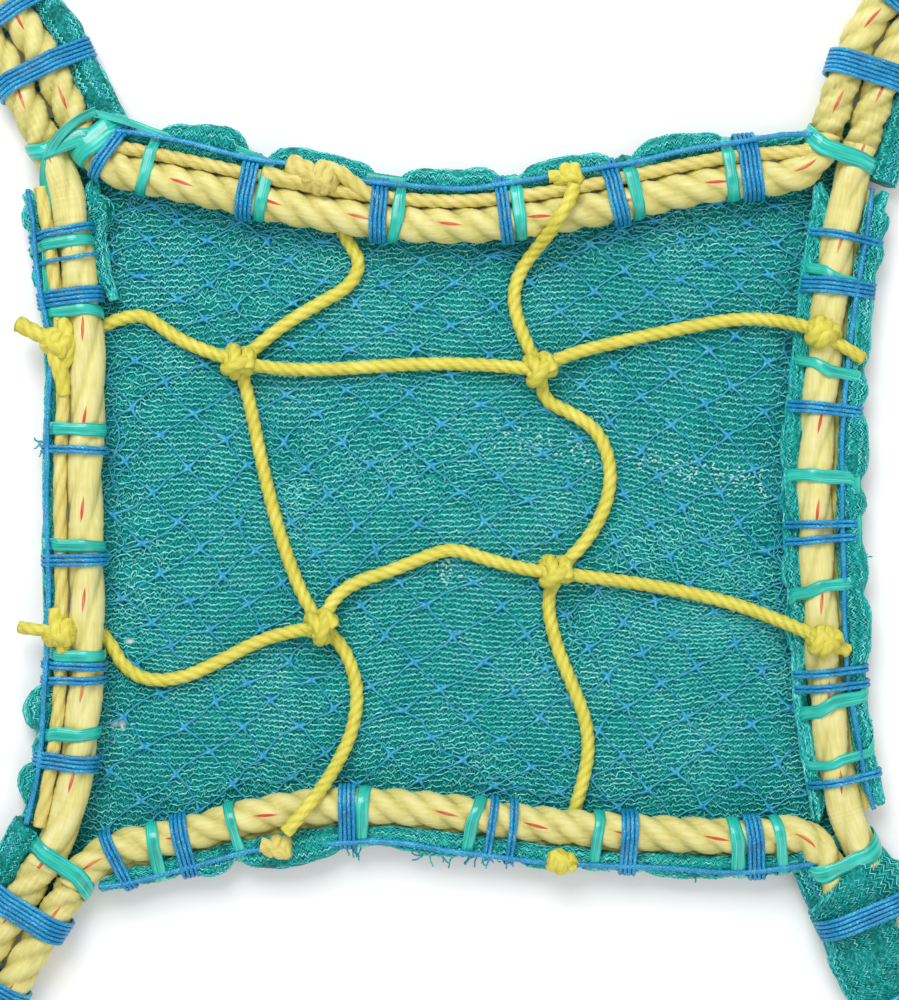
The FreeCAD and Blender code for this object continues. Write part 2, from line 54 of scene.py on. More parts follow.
# %% Camera straight above the panel
LENS = 85.0
SEEN_LENGTH = 0.3333  # of the panel's plane, along the frame's long side
SEEN_MIDDLE = (-0.00017, 0.00333)
PANEL_PLANE = 0.009  # height of the rope's axis
camera_data = bpy.data.cameras.new("camera")
camera_data.lens = LENS
camera_data.sensor_width = 36.0
camera = bpy.data.objects.new("camera", camera_data)
bpy.context.scene.collection.objects.link(camera)
camera.location = (*SEEN_MIDDLE, PANEL_PLANE + SEEN_LENGTH * LENS / camera_data.sensor_width)
bpy.context.scene.camera = camera
print("camera height:", round(camera.location.z, 3))

# %% Two soft lights and a pale room
def srgb(code):
    """A hex colour as linear red, green, blue and alpha."""
    parts = [int(code[i:i + 2], 16) / 255 for i in (0, 2, 4)]
    return (*[p / 12.92 if p <= 0.04045 else ((p + 0.055) / 1.055) ** 2.4 for p in parts], 1.0)


def soft_light(name, place, size, power):
    """A square area light that faces the middle of the panel."""
    data = bpy.data.lights.new(name, "AREA")
    data.size, data.energy = size, power
    lamp = bpy.data.objects.new(name, data)
    bpy.context.scene.collection.objects.link(lamp)
    lamp.location = place
    lamp.rotation_euler = (-Vector(place)).to_track_quat("-Z", "Y").to_euler()
    return lamp


soft_light("key light", (-0.25, 0.75, 1.0), 0.7, 11.0)
soft_light("fill light", (0.5, -0.8, 1.1), 1.2, 5.0)
room = bpy.data.worlds.new("pale room")
room.use_nodes = True
room.node_tree.nodes["Background"].inputs["Color"].default_value = srgb("FFFFFF")
room.node_tree.nodes["Background"].inputs["Strength"].default_value = 0.62
bpy.context.scene.world = room
bpy.context.scene.view_settings.view_transform = "Standard"

# %% [markdown]
# ## The mesh cords' routes
# A cord that is tied at both ends still lies in loose curves. Each route is a handful of given points,
# and a NURBS line of order 3 runs smoothly past them. The numbers are the CAD tubes' own points in
# metres, with a few more at the ends that tuck the cord under the border rope or lift it over. The
# same line then carries the strands.

# %% A smooth line past control points
def smooth_line(points, per_span=10, closed=False):
    """Points along a NURBS line that has these control points."""
    curve = bpy.data.curves.new("route", "CURVE")
    curve.dimensions = "3D"
    spline = curve.splines.new("NURBS")
    spline.points.add(len(points) - 1)
    for point, place in zip(spline.points, points):
        point.co = (*place, 1.0)
    spline.order_u = 3
    spline.use_cyclic_u = closed
    spline.use_endpoint_u = not closed
    spline.resolution_u = per_span
    holder = bpy.data.objects.new("route", curve)
    mesh = bpy.data.meshes.new_from_object(holder)
    line = [v.co.copy() for v in mesh.vertices]
    bpy.data.objects.remove(holder)
    bpy.data.curves.remove(curve)
    bpy.data.meshes.remove(mesh)
    return line


def length_of(line):
    return sum((q - p).length for p, q in zip(line, line[1:]))


# %% Column cords
LOW, OVER = 0.00365, 0.01735  # cord axis on the nets, and over the border rope
TUCKED = LOW - 0.0007  # under the border rope
UNDER_KNOT, ON_KNOT = 0.00435, 0.00985  # the lower and the upper cord of a knot
CORD_STEPS = 24  # points to each span, so that the lay of the strands shows
COLUMN_LEFT = smooth_line([
    (-0.0362, 0.0938, TUCKED), (-0.03404, 0.08974, LOW), (-0.0298, 0.083, LOW),
    (-0.0335, 0.075, LOW), (-0.044, 0.0693, LOW),
    (-0.055, 0.0627, LOW), (-0.0635, 0.056, LOW + 0.0003), (-0.0707, 0.0493, UNDER_KNOT),
    (-0.0673, 0.0367, LOW), (-0.0627, 0.0133, LOW), (-0.0567, -0.010, LOW), (-0.0495, -0.0293, LOW),
    (-0.0427, -0.039, UNDER_KNOT), (-0.035, -0.0467, LOW), (-0.0307, -0.060, LOW),
    (-0.0323, -0.073, LOW), (-0.0368, -0.0835, LOW + 0.001), (-0.0415, -0.091, OVER - 0.0045),
    (-0.0465, -0.097, OVER + 0.0012), (-0.0505, -0.102, OVER + 0.0002), (-0.0542, -0.1064, OVER),
], CORD_STEPS)
COLUMN_RIGHT = smooth_line([
    (0.0412, 0.1074, OVER), (0.0397, 0.1025, OVER + 0.0002), (0.0367, 0.0975, OVER + 0.0012),
    (0.033, 0.0918, OVER - 0.0035), (0.0285, 0.087, LOW + 0.003), (0.0233, 0.080, LOW),
    (0.021, 0.0715, LOW), (0.0233, 0.061, LOW), (0.030, 0.0467, UNDER_KNOT), (0.0315, 0.0365, LOW),
    (0.041, 0.0325, LOW), (0.050, 0.0263, LOW), (0.0543, 0.0145, LOW), (0.0527, 0.0015, LOW),
    (0.046, -0.0105, LOW), (0.0353, -0.021, UNDER_KNOT), (0.0325, -0.031, LOW),
    (0.035, -0.0435, LOW), (0.040, -0.0565, LOW), (0.045, -0.0683, LOW), (0.0467, -0.079, LOW),
    (0.0452, -0.089, LOW), (0.04256, -0.09808, LOW), (0.0415, -0.1022, TUCKED),
], CORD_STEPS)
print("column cords:", [round(length_of(c), 3) for c in (COLUMN_LEFT, COLUMN_RIGHT)])

# %% Row cords
ROW_REAR = smooth_line([
    (-0.1179, 0.0612, TUCKED), (-0.11396, 0.06307, LOW), (-0.1075, 0.065, LOW),
    (-0.102, 0.0652, LOW), (-0.097, 0.0615, LOW),
    (-0.090, 0.0567, LOW), (-0.081, 0.053, LOW + 0.0013), (-0.0707, 0.0493, ON_KNOT),
    (-0.0575, 0.047, LOW + 0.0016), (-0.040, 0.0471, LOW), (-0.022, 0.0484, LOW),
    (-0.005, 0.0492, LOW), (0.009, 0.0488, LOW), (0.020, 0.048, LOW + 0.0018),
    (0.030, 0.0467, ON_KNOT), (0.039, 0.052, LOW + 0.0016), (0.0567, 0.0565, LOW),
    (0.0767, 0.0607, LOW), (0.094, 0.064, LOW), (0.106, 0.064, LOW + 0.0015),
    (0.1145, 0.062, OVER - 0.006), (0.1205, 0.0597, OVER - 0.0004),
], CORD_STEPS)
ROW_FRONT = smooth_line([
    (-0.1172, -0.0411, TUCKED), (-0.11344, -0.0453, LOW), (-0.1103, -0.0518, LOW),
    (-0.1025, -0.0573, LOW),
    (-0.090, -0.0567, LOW), (-0.0767, -0.0505, LOW), (-0.064, -0.0437, LOW),
    (-0.0525, -0.0405, LOW + 0.0016), (-0.0427, -0.039, ON_KNOT), (-0.0395, -0.030, LOW + 0.0018),
    (-0.032, -0.0242, LOW), (-0.020, -0.0205, LOW), (-0.007, -0.0152, LOW), (0.001, -0.0128, LOW),
    (0.013, -0.0168, LOW), (0.0245, -0.0197, LOW + 0.0018), (0.0353, -0.021, ON_KNOT),
    (0.048, -0.0226, LOW + 0.0016), (0.070, -0.0256, LOW), (0.092, -0.0304, LOW),
    (0.105, -0.0348, LOW + 0.0015), (0.1135, -0.0383, OVER - 0.006), (0.1198, -0.0412, OVER - 0.0004),
], CORD_STEPS)
print("row cords:", [round(length_of(c), 3) for c in (ROW_REAR, ROW_FRONT)])

# %% [markdown]
# ## How a rope is swept
# Rope, cord, twine, yarn and tape are all the same idea in Blender: a small outline carried along a
# line. A curve with a bevel outline does this, and the tilt of each point turns the outline, so a
# three-lobed outline becomes three strands laid round each other. Every swept mesh also keeps where
# each vertex would be on the straight, untwisted piece. Materials read that, so that filaments run
# along the rope and never show a seam.

# %% Outlines to sweep
def outline(name, points):
    """A closed flat outline, as an object that a curve can take for its bevel."""
    curve = bpy.data.curves.new(name, "CURVE")
    spline = curve.splines.new("POLY")
    spline.points.add(len(points) - 1)
    for point, place in zip(spline.points, points):
        point.co = (*place, 0.0, 1.0)
    spline.use_cyclic_u = True
    shape = bpy.data.objects.new(name, curve)
    bpy.context.scene.collection.objects.link(shape)
    shape.hide_render = True
    return shape


def laid_outline(name, radius, strands, count, depth):
    """Strands side by side round a rope, with a sharp valley between neighbours."""
    points = []
    for i in range(count):
        angle = 2 * math.pi * i / count
        reach = radius * (1 - depth * (1 - abs(math.cos(strands * angle / 2))))
        points.append((reach * math.cos(angle), reach * math.sin(angle)))
    return outline(name, points)


def flat_outline(name, width, thickness, crease=0.0):
    """A tape's section, with its width upright, and a crease that hollows it."""
    half = width / 2
    xs = (-1.0, -0.6, -0.2, 0.2, 0.6, 1.0)
    front = [(thickness * (0.5 - 0.35 * abs(x)) + crease * (1 - x * x), x * half) for x in xs]
    back = [(-thickness * (0.5 - 0.35 * abs(x)) + crease * (1 - x * x), x * half) for x in xs]
    return outline(name, front + back[::-1])


ROPE = laid_outline("rope outline", 0.00615, 3, 36, 0.2)
CORD = laid_outline("cord outline", 0.00232, 3, 18, 0.15)
WRAP = laid_outline("wrap outline", 0.0023, 3, 15, 0.12)
TWINE = laid_outline("twine outline", 0.00078, 3, 9, 0.3)
BRAID = laid_outline("braid outline", 0.00095, 3, 9, 0.25)
TAPE = flat_outline("tape outline", 0.0039, 0.00055, 0.0002)
LOOSE_TAPE = flat_outline("loose tape outline", 0.0033, 0.0005, 0.0005)
YARN = outline("yarn outline", [(0.00027, 0), (0, 0.00015), (-0.00027, 0), (0, -0.00015)])
FINE = outline("fine yarn outline", [(0.00027, 0), (0, 0.00014), (-0.00027, 0), (0, -0.00014)])
NET_TWINE = laid_outline("net twine outline", 0.00028, 1, 6, 0.0)
ROLL_R = 0.0034
ROLL = laid_outline("roll outline", ROLL_R, 1, 24, 0.0)

# %% Sweep an outline along lines
def sweep(name, lines, shape, lay=0.0, closed=False, radii=None, tilts=None, twist="Z_UP"):
    """A mesh swept along each line. lay is the length of one turn of the strands, 0 for none."""
    curve = bpy.data.curves.new(name, "CURVE")
    curve.dimensions = "3D"
    curve.twist_mode = twist
    curve.bevel_mode = "OBJECT"
    curve.bevel_object = shape
    straight = []
    ring = [Vector(p.co[:2]) for p in shape.data.splines[0].points]
    for k, line in enumerate(lines):
        spline = curve.splines.new("POLY")
        spline.points.add(len(line) - 1)
        spline.use_cyclic_u = closed
        travelled = 0.0
        for i, (point, place) in enumerate(zip(spline.points, line)):
            travelled += (line[i] - line[i - 1]).length if i else 0.0
            turn = 2 * math.pi * travelled / lay if lay else 0.0
            if tilts:
                turn += tilts[k][i]
            point.co = (*place, 1.0)
            point.tilt = turn
            point.radius = radii[k][i] if radii else 1.0
            spin = Matrix.Rotation(-turn, 2)
            straight += [(*(spin @ r), travelled) for r in ring]
    holder = bpy.data.objects.new(name, curve)
    bpy.context.scene.collection.objects.link(holder)
    bpy.context.view_layer.update()
    mesh = bpy.data.meshes.new_from_object(
        holder.evaluated_get(bpy.context.evaluated_depsgraph_get()))
    bpy.data.objects.remove(holder)
    bpy.data.curves.remove(curve)
    if len(mesh.vertices) != len(straight):
        raise ValueError(f"{name}: {len(mesh.vertices)} vertices, {len(straight)} expected")
    attribute = mesh.attributes.new("straight", "FLOAT_VECTOR", "POINT")
    attribute.data.foreach_set("vector", [c for place in straight for c in place])
    mesh.name = name
    return mesh


def close_up(mesh):
    """Close the open ends and turn every face outward."""
    bm = bmesh.new()
    bm.from_mesh(mesh)
    rims = [e for e in bm.edges if e.is_boundary]
    if rims:
        bmesh.ops.holes_fill(bm, edges=rims, sides=0)
    bmesh.ops.recalc_face_normals(bm, faces=bm.faces)
    for face in bm.faces:
        face.smooth = True
    bm.to_mesh(mesh)
    bm.free()
    return mesh


def piece(name, mesh, material):
    """One finished piece: an object at the origin with its finish."""
    mesh.materials.clear()
    mesh.materials.append(material)
    shown = bpy.data.objects.new(name, mesh)
    bpy.context.scene.collection.objects.link(shown)
    mesh.calc_loop_triangles()
    print(f"{name}: {len(mesh.loop_triangles)} triangles")
    return shown


def joined(name, meshes):
    """Several meshes as one, with their attributes."""
    parts = [bpy.data.objects.new(name, m) for m in meshes]
    for part in parts:
        bpy.context.scene.collection.objects.link(part)
    with bpy.context.temp_override(active_object=parts[0], object=parts[0],
                                   selected_objects=parts, selected_editable_objects=parts):
        bpy.ops.object.join()
    mesh = parts[0].data
    bpy.data.objects.remove(parts[0])
    return mesh


# %% [markdown]
# ## Finishes
# Each finish is a small node tree. One function adds a node: it sets the node's own settings, and an
# input gets either a plain value or a link. Colours are ordinary screen colours, turned to linear.

# %% One function that adds a node
def add_node(tree, kind, inputs=None, **settings):
    """Add a node. inputs maps an input's name or number to a value or to another node's output."""
    made = tree.nodes.new(kind)
    for key, value in settings.items():
        setattr(made, key, value)
    for key, value in (inputs or {}).items():
        if isinstance(value, bpy.types.NodeSocket):
            tree.links.new(value, made.inputs[key])
        else:
            made.inputs[key].default_value = value
    return made


def new_finish(name, roughness, **shader):
    """A material with a plain Principled shader, its tree and the shader."""
    material = bpy.data.materials.new(name)
    material.use_nodes = True
    tree = material.node_tree
    bsdf = tree.nodes["Principled BSDF"]
    bsdf.inputs["Roughness"].default_value = roughness
    for key, value in shader.items():
        bsdf.inputs[key.replace("_", " ")].default_value = value
    return material, tree, bsdf


def ramp(tree, factor, stops):
    """A colour ramp on a factor, from (place, hex) stops."""
    made = add_node(tree, "ShaderNodeValToRGB", {"Fac": factor})
    while len(made.color_ramp.elements) < len(stops):
        made.color_ramp.elements.new(0.5)
    for element, (place, code) in zip(made.color_ramp.elements, stops):
        element.position, element.color = place, srgb(code)
    return made.outputs["Color"]


def calc(tree, operation, first, second=0.0, third=0.0, clamp=False):
    """One step of arithmetic."""
    made = add_node(tree, "ShaderNodeMath", {0: first, 1: second, 2: third},
                    operation=operation, use_clamp=clamp)
    return made.outputs["Value"]


def place_on(tree, kind):
    """A point's place: straight, on the piece before it was bent along its line, or object."""
    if kind == "straight":
        return add_node(tree, "ShaderNodeAttribute", attribute_name="straight").outputs["Vector"]
    return add_node(tree, "ShaderNodeTexCoord").outputs["Object"]


def scaled(tree, place, factors):
    return add_node(tree, "ShaderNodeMapping", {0: place, "Scale": factors}).outputs[0]


def cloud(tree, place, scale, detail=2.0, distortion=0.0):
    """Noise between 0 and 1."""
    return add_node(tree, "ShaderNodeTexNoise", {
        "Vector": place, "Scale": scale, "Detail": detail, "Distortion": distortion}).outputs[0]


def colour_and_bump(tree, bsdf, colour, height=None, strength=0.5, distance=0.0):
    """Wire a colour to the shader, and bumps where there are any."""
    tree.links.new(colour, bsdf.inputs["Base Color"])
    if height:
        bump = add_node(tree, "ShaderNodeBump",
                        {"Height": height, "Strength": strength, "Distance": distance})
        tree.links.new(bump.outputs[0], bsdf.inputs["Normal"])


# %% [markdown]
# ### Laid polypropylene rope
# The border rope is laid from fibrillated polypropylene film: pale straw yellow and half matt, with
# fine filaments that run along the rope. Its colour is darker gold where two strands meet, which is
# painted shade in the valleys, and paler on each strand's crown, which is a painted highlight. One
# strand holds a red tracer yarn, which comes up once in each lay as a short thin dash. The dash is
# worked out from the place on the straight rope: near the top, and within five millimetres of a fixed
# place in the lay.

# %% Rope and cord finish
VALLEY = 0.74  # how far from the axis two strands meet, as a share of the radius
DASH_HALF, DASH_WIDE, DASH_SLANT = 0.0048, 0.00065, 0.12  # the tracer's dash
DASH_SHARP = 5000.0  # how fast the dash's edge fades, per metre


def tracer_mask(tree, x, y, z, lay, where, filament):
    """1 on the tracer's dash, which comes once in each lay, and 0 beside it."""
    within = calc(tree, "SUBTRACT", calc(tree, "MODULO", calc(tree, "ADD", z, where), lay), lay / 2)
    taper = calc(tree, "SUBTRACT", 1.0,
                 calc(tree, "POWER", calc(tree, "DIVIDE", within, DASH_HALF), 2.0))
    off_line = calc(tree, "ABSOLUTE", calc(
        tree, "SUBTRACT", x, calc(tree, "MULTIPLY", within, DASH_SLANT)))
    near = calc(tree, "SUBTRACT", calc(tree, "MULTIPLY", taper, DASH_WIDE), off_line)
    line = calc(tree, "MULTIPLY", near, DASH_SHARP, clamp=True)
    top = calc(tree, "GREATER_THAN", y, 0.0)
    return calc(tree, "MULTIPLY", calc(tree, "MULTIPLY", line, top),
                calc(tree, "MULTIPLY_ADD", filament, 1.6, 0.1, clamp=True))


def laid_finish(name, lay, radius, stops, tracer=None, grain=900.0, rough=0.5):
    material, tree, bsdf = new_finish(name, rough)
    place = place_on(tree, "straight")
    x, y, z = add_node(tree, "ShaderNodeSeparateXYZ", {0: place}).outputs
    filament = cloud(tree, scaled(tree, place, (1.0, 1.0, 0.12)), grain, 3.0)
    patches = cloud(tree, place, 90.0)
    # crown is 0 in the valleys and 1 on the strands' crowns: painted shade between strands and a painted
    # highlight on the crowns, for every laid rope and cord.
    reach = calc(tree, "SQRT", calc(tree, "ADD", calc(tree, "MULTIPLY", x, x),
                                    calc(tree, "MULTIPLY", y, y)))
    crown = calc(tree, "DIVIDE", calc(tree, "SUBTRACT", reach, radius * VALLEY),
                 radius * (1 - VALLEY), clamp=True)
    mixed = calc(tree, "MULTIPLY_ADD", filament, 0.55, calc(tree, "MULTIPLY", patches, 0.45))
    shade = calc(tree, "MULTIPLY_ADD", crown, 0.42,
                 calc(tree, "MULTIPLY_ADD", mixed, 1.3, -0.36), clamp=True)
    colour = ramp(tree, shade, stops)
    if tracer:
        red, where = tracer
        mask = tracer_mask(tree, x, y, z, lay, where, filament)
        colour = add_node(tree, "ShaderNodeMix", {"Factor": mask, 6: colour, 7: srgb(red)},
                          data_type="RGBA").outputs[2]
    colour_and_bump(tree, bsdf, colour, filament, 0.55, 0.0005)
    rough_mix = calc(tree, "MULTIPLY_ADD", filament, 0.35, rough - 0.17)
    tree.links.new(rough_mix, bsdf.inputs["Roughness"])
    return material


ROPE_LAY, CORD_LAY = 0.030, 0.012
STRAW, TRACER = [(0.0, "857E40"), (0.28, "BFB566"), (0.6, "D6CD7C"), (1.0, "E9E2A8")], "C8402F"
rope_finish = laid_finish(
    "laid polypropylene film rope with a red tracer", ROPE_LAY, 0.00615,
    STRAW, (TRACER, 0.004))
slack_rope_finish = laid_finish(
    "slack-laid polypropylene film rope with a red tracer", ROPE_LAY, 0.0054,
    STRAW, (TRACER, 0.012))
cord_finish = laid_finish(
    "laid polyethylene cord", CORD_LAY, 0.0023,
    [(0.0, "8F8624"), (0.35, "C2B83C"), (0.65, "DAD050"), (1.0, "ECE684")], grain=1600.0)
old_cord_finish = laid_finish(
    "laid polyethylene cord gone straw yellow", CORD_LAY, 0.0023,
    [(0.0, "8A7E3C"), (0.35, "C0B058"), (0.65, "D8CA70"), (1.0, "E8DF9C")], grain=1600.0)
print("rope finishes:", [m.name for m in bpy.data.materials if "laid" in m.name])

# %% [markdown]
# ### Twine, net twine and tape
# The lashing twine is braided polyester: deep blue, with bright glints on each plait that are painted
# into its colour as the palest streaks. The fishing net is twisted nylon monofilament, lighter where the
# light passes through it and solid blue in its knots. The tape is stretched polyethylene film, glossy,
# with folds that run along it; its palest streaks are painted highlights.

# %% Twine, net and tape finishes
def strip_finish(name, stops, across, along, roughness, bump_height, coat=0.0):
    """A finish with streaks along the piece: across and along are the streaks' sizes."""
    material, tree, bsdf = new_finish(name, roughness, Coat_Weight=coat)
    squeezed = scaled(tree, place_on(tree, "straight"), (1 / across, 1 / across, 1 / along))
    streaks = cloud(tree, squeezed, 1.0)
    patches = cloud(tree, place_on(tree, "object"), 120.0)
    mixed = calc(tree, "MULTIPLY_ADD", patches, 0.6,
                 calc(tree, "MULTIPLY_ADD", streaks, 1.5, -0.55), clamp=True)
    colour_and_bump(tree, bsdf, ramp(tree, mixed, stops), streaks, 0.5, bump_height)
    return material


# The twine's palest stops, pale cyan, are painted glints.
twine_finish = strip_finish(
    "braided polyester twine", [(0.0, "0A5584"), (0.4, "0F7CB4"), (0.65, "20A2D4"), (1.0, "84DCF0")],
    0.0004, 0.0006, 0.3, 0.0003)
net_twine_finish = strip_finish(
    "twisted nylon net twine", [(0.0, "1688BC"), (0.5, "2CA6C6"), (1.0, "62C8DC")],
    0.0005, 0.004, 0.4, 0.0001)
# The tape's palest stops are painted highlights along its length.
tape_finish = strip_finish(
    "stretched polyethylene tape", [(0.0, "08766A"), (0.4, "13A494"), (0.7, "2AC8B6"), (1.0, "78EADC")],
    0.0006, 0.02, 0.24, 0.0004, 0.3)
print("strip finishes:", [m.name for m in (twine_finish, net_twine_finish, tape_finish)])

# %% [markdown]
# ### Knitted debris net
# The green net is knitted from thin slit polyethylene tape. It looks woven of two colours, because a
# tape that lies flat shines pale while one on edge is dark. The yarns are real geometry, so their
# finish only needs the change from yarn to yarn, and that light and shade is painted in: one copy of
# the tape is painted lit, one painted in shade. The dark finish, painted shade, is for the backing and
# for the rolled edges, whose stitches are too small and too many to model: there a Voronoi pattern at
# the stitch's real size, 1.7 mm, gives the dark holes, in painted shade, and the pale tapes.

# %% Knit finishes
STITCH = 0.0017
ROW_PITCH = 0.0019


def yarn_finish(name, stops, roughness):
    material, tree, bsdf = new_finish(name, roughness, Specular_IOR_Level=0.25)
    place = place_on(tree, "object")
    mixed = calc(tree, "MULTIPLY_ADD", cloud(tree, place, 45.0), 0.7,
                 calc(tree, "MULTIPLY_ADD", cloud(tree, place, 800.0, 1.0), 1.5, -0.6), clamp=True)
    colour_and_bump(tree, bsdf, ramp(tree, mixed, stops))
    return material


def knit_finish(name, stops, coordinates, size, depth):
    """Stitches as a pattern: dark holes in painted shade, and tapes that cross between them."""
    material, tree, bsdf = new_finish(name, 0.5, Specular_IOR_Level=0.15)
    place = place_on(tree, coordinates)
    squeezed = scaled(tree, place, (1 / size, 1 / size, 1 / (size * 1.6)))
    cells = add_node(tree, "ShaderNodeTexVoronoi", {"Vector": squeezed, "Scale": 1.0},
                     feature="DISTANCE_TO_EDGE").outputs[0]
    threads = cloud(tree, squeezed, 2.2, distortion=1.5)
    height = calc(tree, "SUBTRACT", 1.0, calc(tree, "MULTIPLY", cells, 2.4), clamp=True)
    mixed = calc(tree, "MULTIPLY_ADD", height, 0.5, calc(
        tree, "MULTIPLY_ADD", threads, 1.5,
        calc(tree, "MULTIPLY_ADD", cloud(tree, place, 110.0), 0.8, -1.05)), clamp=True)
    colour_and_bump(tree, bsdf, ramp(tree, mixed, stops), mixed, 0.8, depth)
    return material


# The same tape twice, in painted light and shade: lit as it shines lying flat, and in shade on edge.
lit_flat_yarn = yarn_finish("slit polyethylene tape, painted lit lying flat",
                        [(0.0, "1CA8A6"), (0.35, "44CAC6"), (0.65, "7CE6E2"), (1.0, "C4FAF6")], 0.36)
shaded_edge_yarn = yarn_finish("slit polyethylene tape, painted in shade on edge",
                         [(0.0, "089694"), (0.35, "12B2B0"), (0.65, "2ECCCA"), (1.0, "7CE6E4")], 0.4)
# The backing stands for the net's second layer; its dark colour is painted shade, where little light
# comes through.
backing = knit_finish("knitted polyethylene net, backing in painted shade",
                      [(0.0, "035656"), (0.45, "067E7E"), (0.8, "0EA2A0"), (1.0, "20BEBC")],
                      "object", STITCH, 0.0003)
rolled_net = knit_finish("knitted polyethylene net, rolled",
                         [(0.0, "045854"), (0.3, "08746E"), (0.6, "12928E"), (0.85, "2EB4AE"),
                          (1.0, "78DCD6")], "straight", STITCH, 0.0007)
print("knit finishes:", [m.name for m in (lit_flat_yarn, shaded_edge_yarn, backing, rolled_net)])

# %% [markdown]
# ## Border rope
# The border is four lengths of 12 mm three-strand rope, each from one corner's throat to the next.
# Its line repeats the CAD model's points. The rope is thick for its radius of bend, so it keeps a
# gentle curve between the lashings. The selvedge cord and the rolled edge of the nets run beside it,
# so one helper moves a side's points outward and sets their height.

# %% The four sides
ROPE_Z, ROPE_R = 9.0, 6.0  # millimetres in these tables
LEG_OUT = 6.15  # from the middle of a corner loop to the axis of each leg
END_RUN = 14.0  # the straight run of a border rope into a throat
THROATS = {"rear_left": (-129.0, 124.0), "rear_right": (131.0, 123.0),
           "front_left": (-131.0, -122.0), "front_right": (132.0, -117.0)}
KNEES = {"rear_left": (-142.0, 151.0), "rear_right": (141.5, 156.0),
         "front_left": (-146.0, -146.0), "front_right": (145.0, -148.0)}
SIDES = {
    "rear": ("rear_left", "rear_right", (0, 1), [
        (-92, 109.3), (-58, 101.5), (-28, 96.6), (-5, 94.5), (16, 95.2), (47, 99.8), (80, 107.2),
        (98, 110.2)]),
    "front": ("front_left", "front_right", (0, -1), [
        (-92, -109.4), (-61, -100.3), (-35, -98), (-5, -99.6), (27, -104.6), (58, -107.2),
        (82, -108.4), (101, -109.2)]),
    "left": ("rear_left", "front_left", (-1, 0), [
        (-126.5, 99), (-123.5, 77), (-120, 48), (-122, 12), (-121, -30), (-121.5, -62),
        (-125, -90)]),
    "right": ("rear_right", "front_right", (1, 0), [
        (131, 97), (128, 83), (124.5, 50), (121.5, 20), (121.5, -5), (123.5, -40), (126.5, -73),
        (130, -94)]),
}


def corner_end(corner, side_sign):
    """A border rope's last point at a throat, and the point one end run before it."""
    x, y = THROATS[corner]
    ax, ay = (Vector(KNEES[corner]) - Vector(THROATS[corner])).normalized()
    sx, sy = math.copysign(1, x), math.copysign(1, y)
    out = side_sign * LEG_OUT
    end = Vector((x - sx * abs(ay) * out, y + sy * abs(ax) * out, ROPE_Z))
    return end, end - Vector((ax, ay, 0)) * END_RUN


def side_line(side):
    """The smooth axis of one side's rope, in metres."""
    first, last, _, points = SIDES[side]
    sign = 1 if side in ("rear", "front") else -1
    begin, end = corner_end(first, sign), corner_end(last, sign)
    route = [*begin, *[Vector((x, y, ROPE_Z)) for x, y in points], end[1], end[0]]
    return smooth_line([p * MM for p in route], 26)


AXES = {side: side_line(side) for side in SIDES}


def axis_of(side):
    """The axis that a side runs along: 0 for x, 1 for y."""
    return 0 if side in ("rear", "front") else 1


def half_of(side, place):
    """The panel half that holds a place along a side. The fold line is at x = -5 mm."""
    return side if axis_of(side) else "left" if place < -5 else "right"


def across_of(side, run):
    """The flat direction across a run, towards the side's outside."""
    across = Vector((run.y, -run.x, 0)).normalized()
    return across if across.dot(Vector((*SIDES[side][2], 0))) > 0 else -across


def on_side(side, place):
    """The rope's axis at a place along the side (x or y, in millimetres), and outward there."""
    axis = axis_of(side)
    line = AXES[side]
    for p, q in zip(line, line[1:]):
        if min(p[axis], q[axis]) <= place * MM <= max(p[axis], q[axis]):
            share = (place * MM - p[axis]) / ((q[axis] - p[axis]) or 1)
            return p.lerp(q, share), across_of(side, q - p)
    raise ValueError(f"{side} has no place {place}")


def beside(side, out, height, per_span=20):
    """A smooth line beside the rope, from corner to corner: out and height in millimetres."""
    first, last, _, points = SIDES[side]
    sign = 1 if side in ("rear", "front") else -1
    points = [corner_end(first, sign)[1].xy, *[Vector(p) for p in points], corner_end(last, sign)[1].xy]
    moved = [Vector((*p, height)) + outward_at(side, points, i) * out for i, p in enumerate(points)]
    return smooth_line([p * MM for p in moved], per_span)


def wobble(line, share, seed):
    """A gentle random swelling along a line, as a radius for each point."""
    return [1 + share * noise.noise(Vector((i * 0.72, seed, 0.0))) for i in range(len(line))]


def outward_at(side, line, i):
    """The flat direction towards the side's outside at one point of a line."""
    return across_of(side, line[min(i + 1, len(line) - 1)] - line[max(i - 1, 0)])


def stands_for(name, side):
    """Replace one side's CAD piece, which is two nodes where the fold crosses it."""
    halves = [f"{name}_{side}_left", f"{name}_{side}_right"]
    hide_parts(*([f"{name}_{side}"] if axis_of(side) else halves))


print("side lengths:", {s: round(length_of(l), 3) for s, l in AXES.items()})


def on_panel(shown):
    """Bake the piece's placing into its mesh; the panel stays flat."""
    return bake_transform(shown)


# %% Sweep the border rope
SLACK_LAY = 0.085  # the left and right ropes have been untwisted by handling
for number, side in enumerate(SIDES):
    level = axis_of(side) == 0
    swell = wobble(AXES[side], 0.05, number)
    mesh = close_up(sweep(f"border_rope_{side}_laid", [AXES[side]], ROPE,
                          ROPE_LAY if level else SLACK_LAY, radii=[swell]))
    shown = piece(f"border_rope_{side}_laid", mesh, rope_finish if level else slack_rope_finish)
    stands_for("border_rope", side)
    on_panel(shown)

# %% [markdown]
# ## Selvedge cord
# A thin laid cord runs along the outer upper side of the border rope, and the nets' edge hangs
# from it. In front and on the right it has slipped lower, and the rolled net covers it. It is swept
# like the rope.

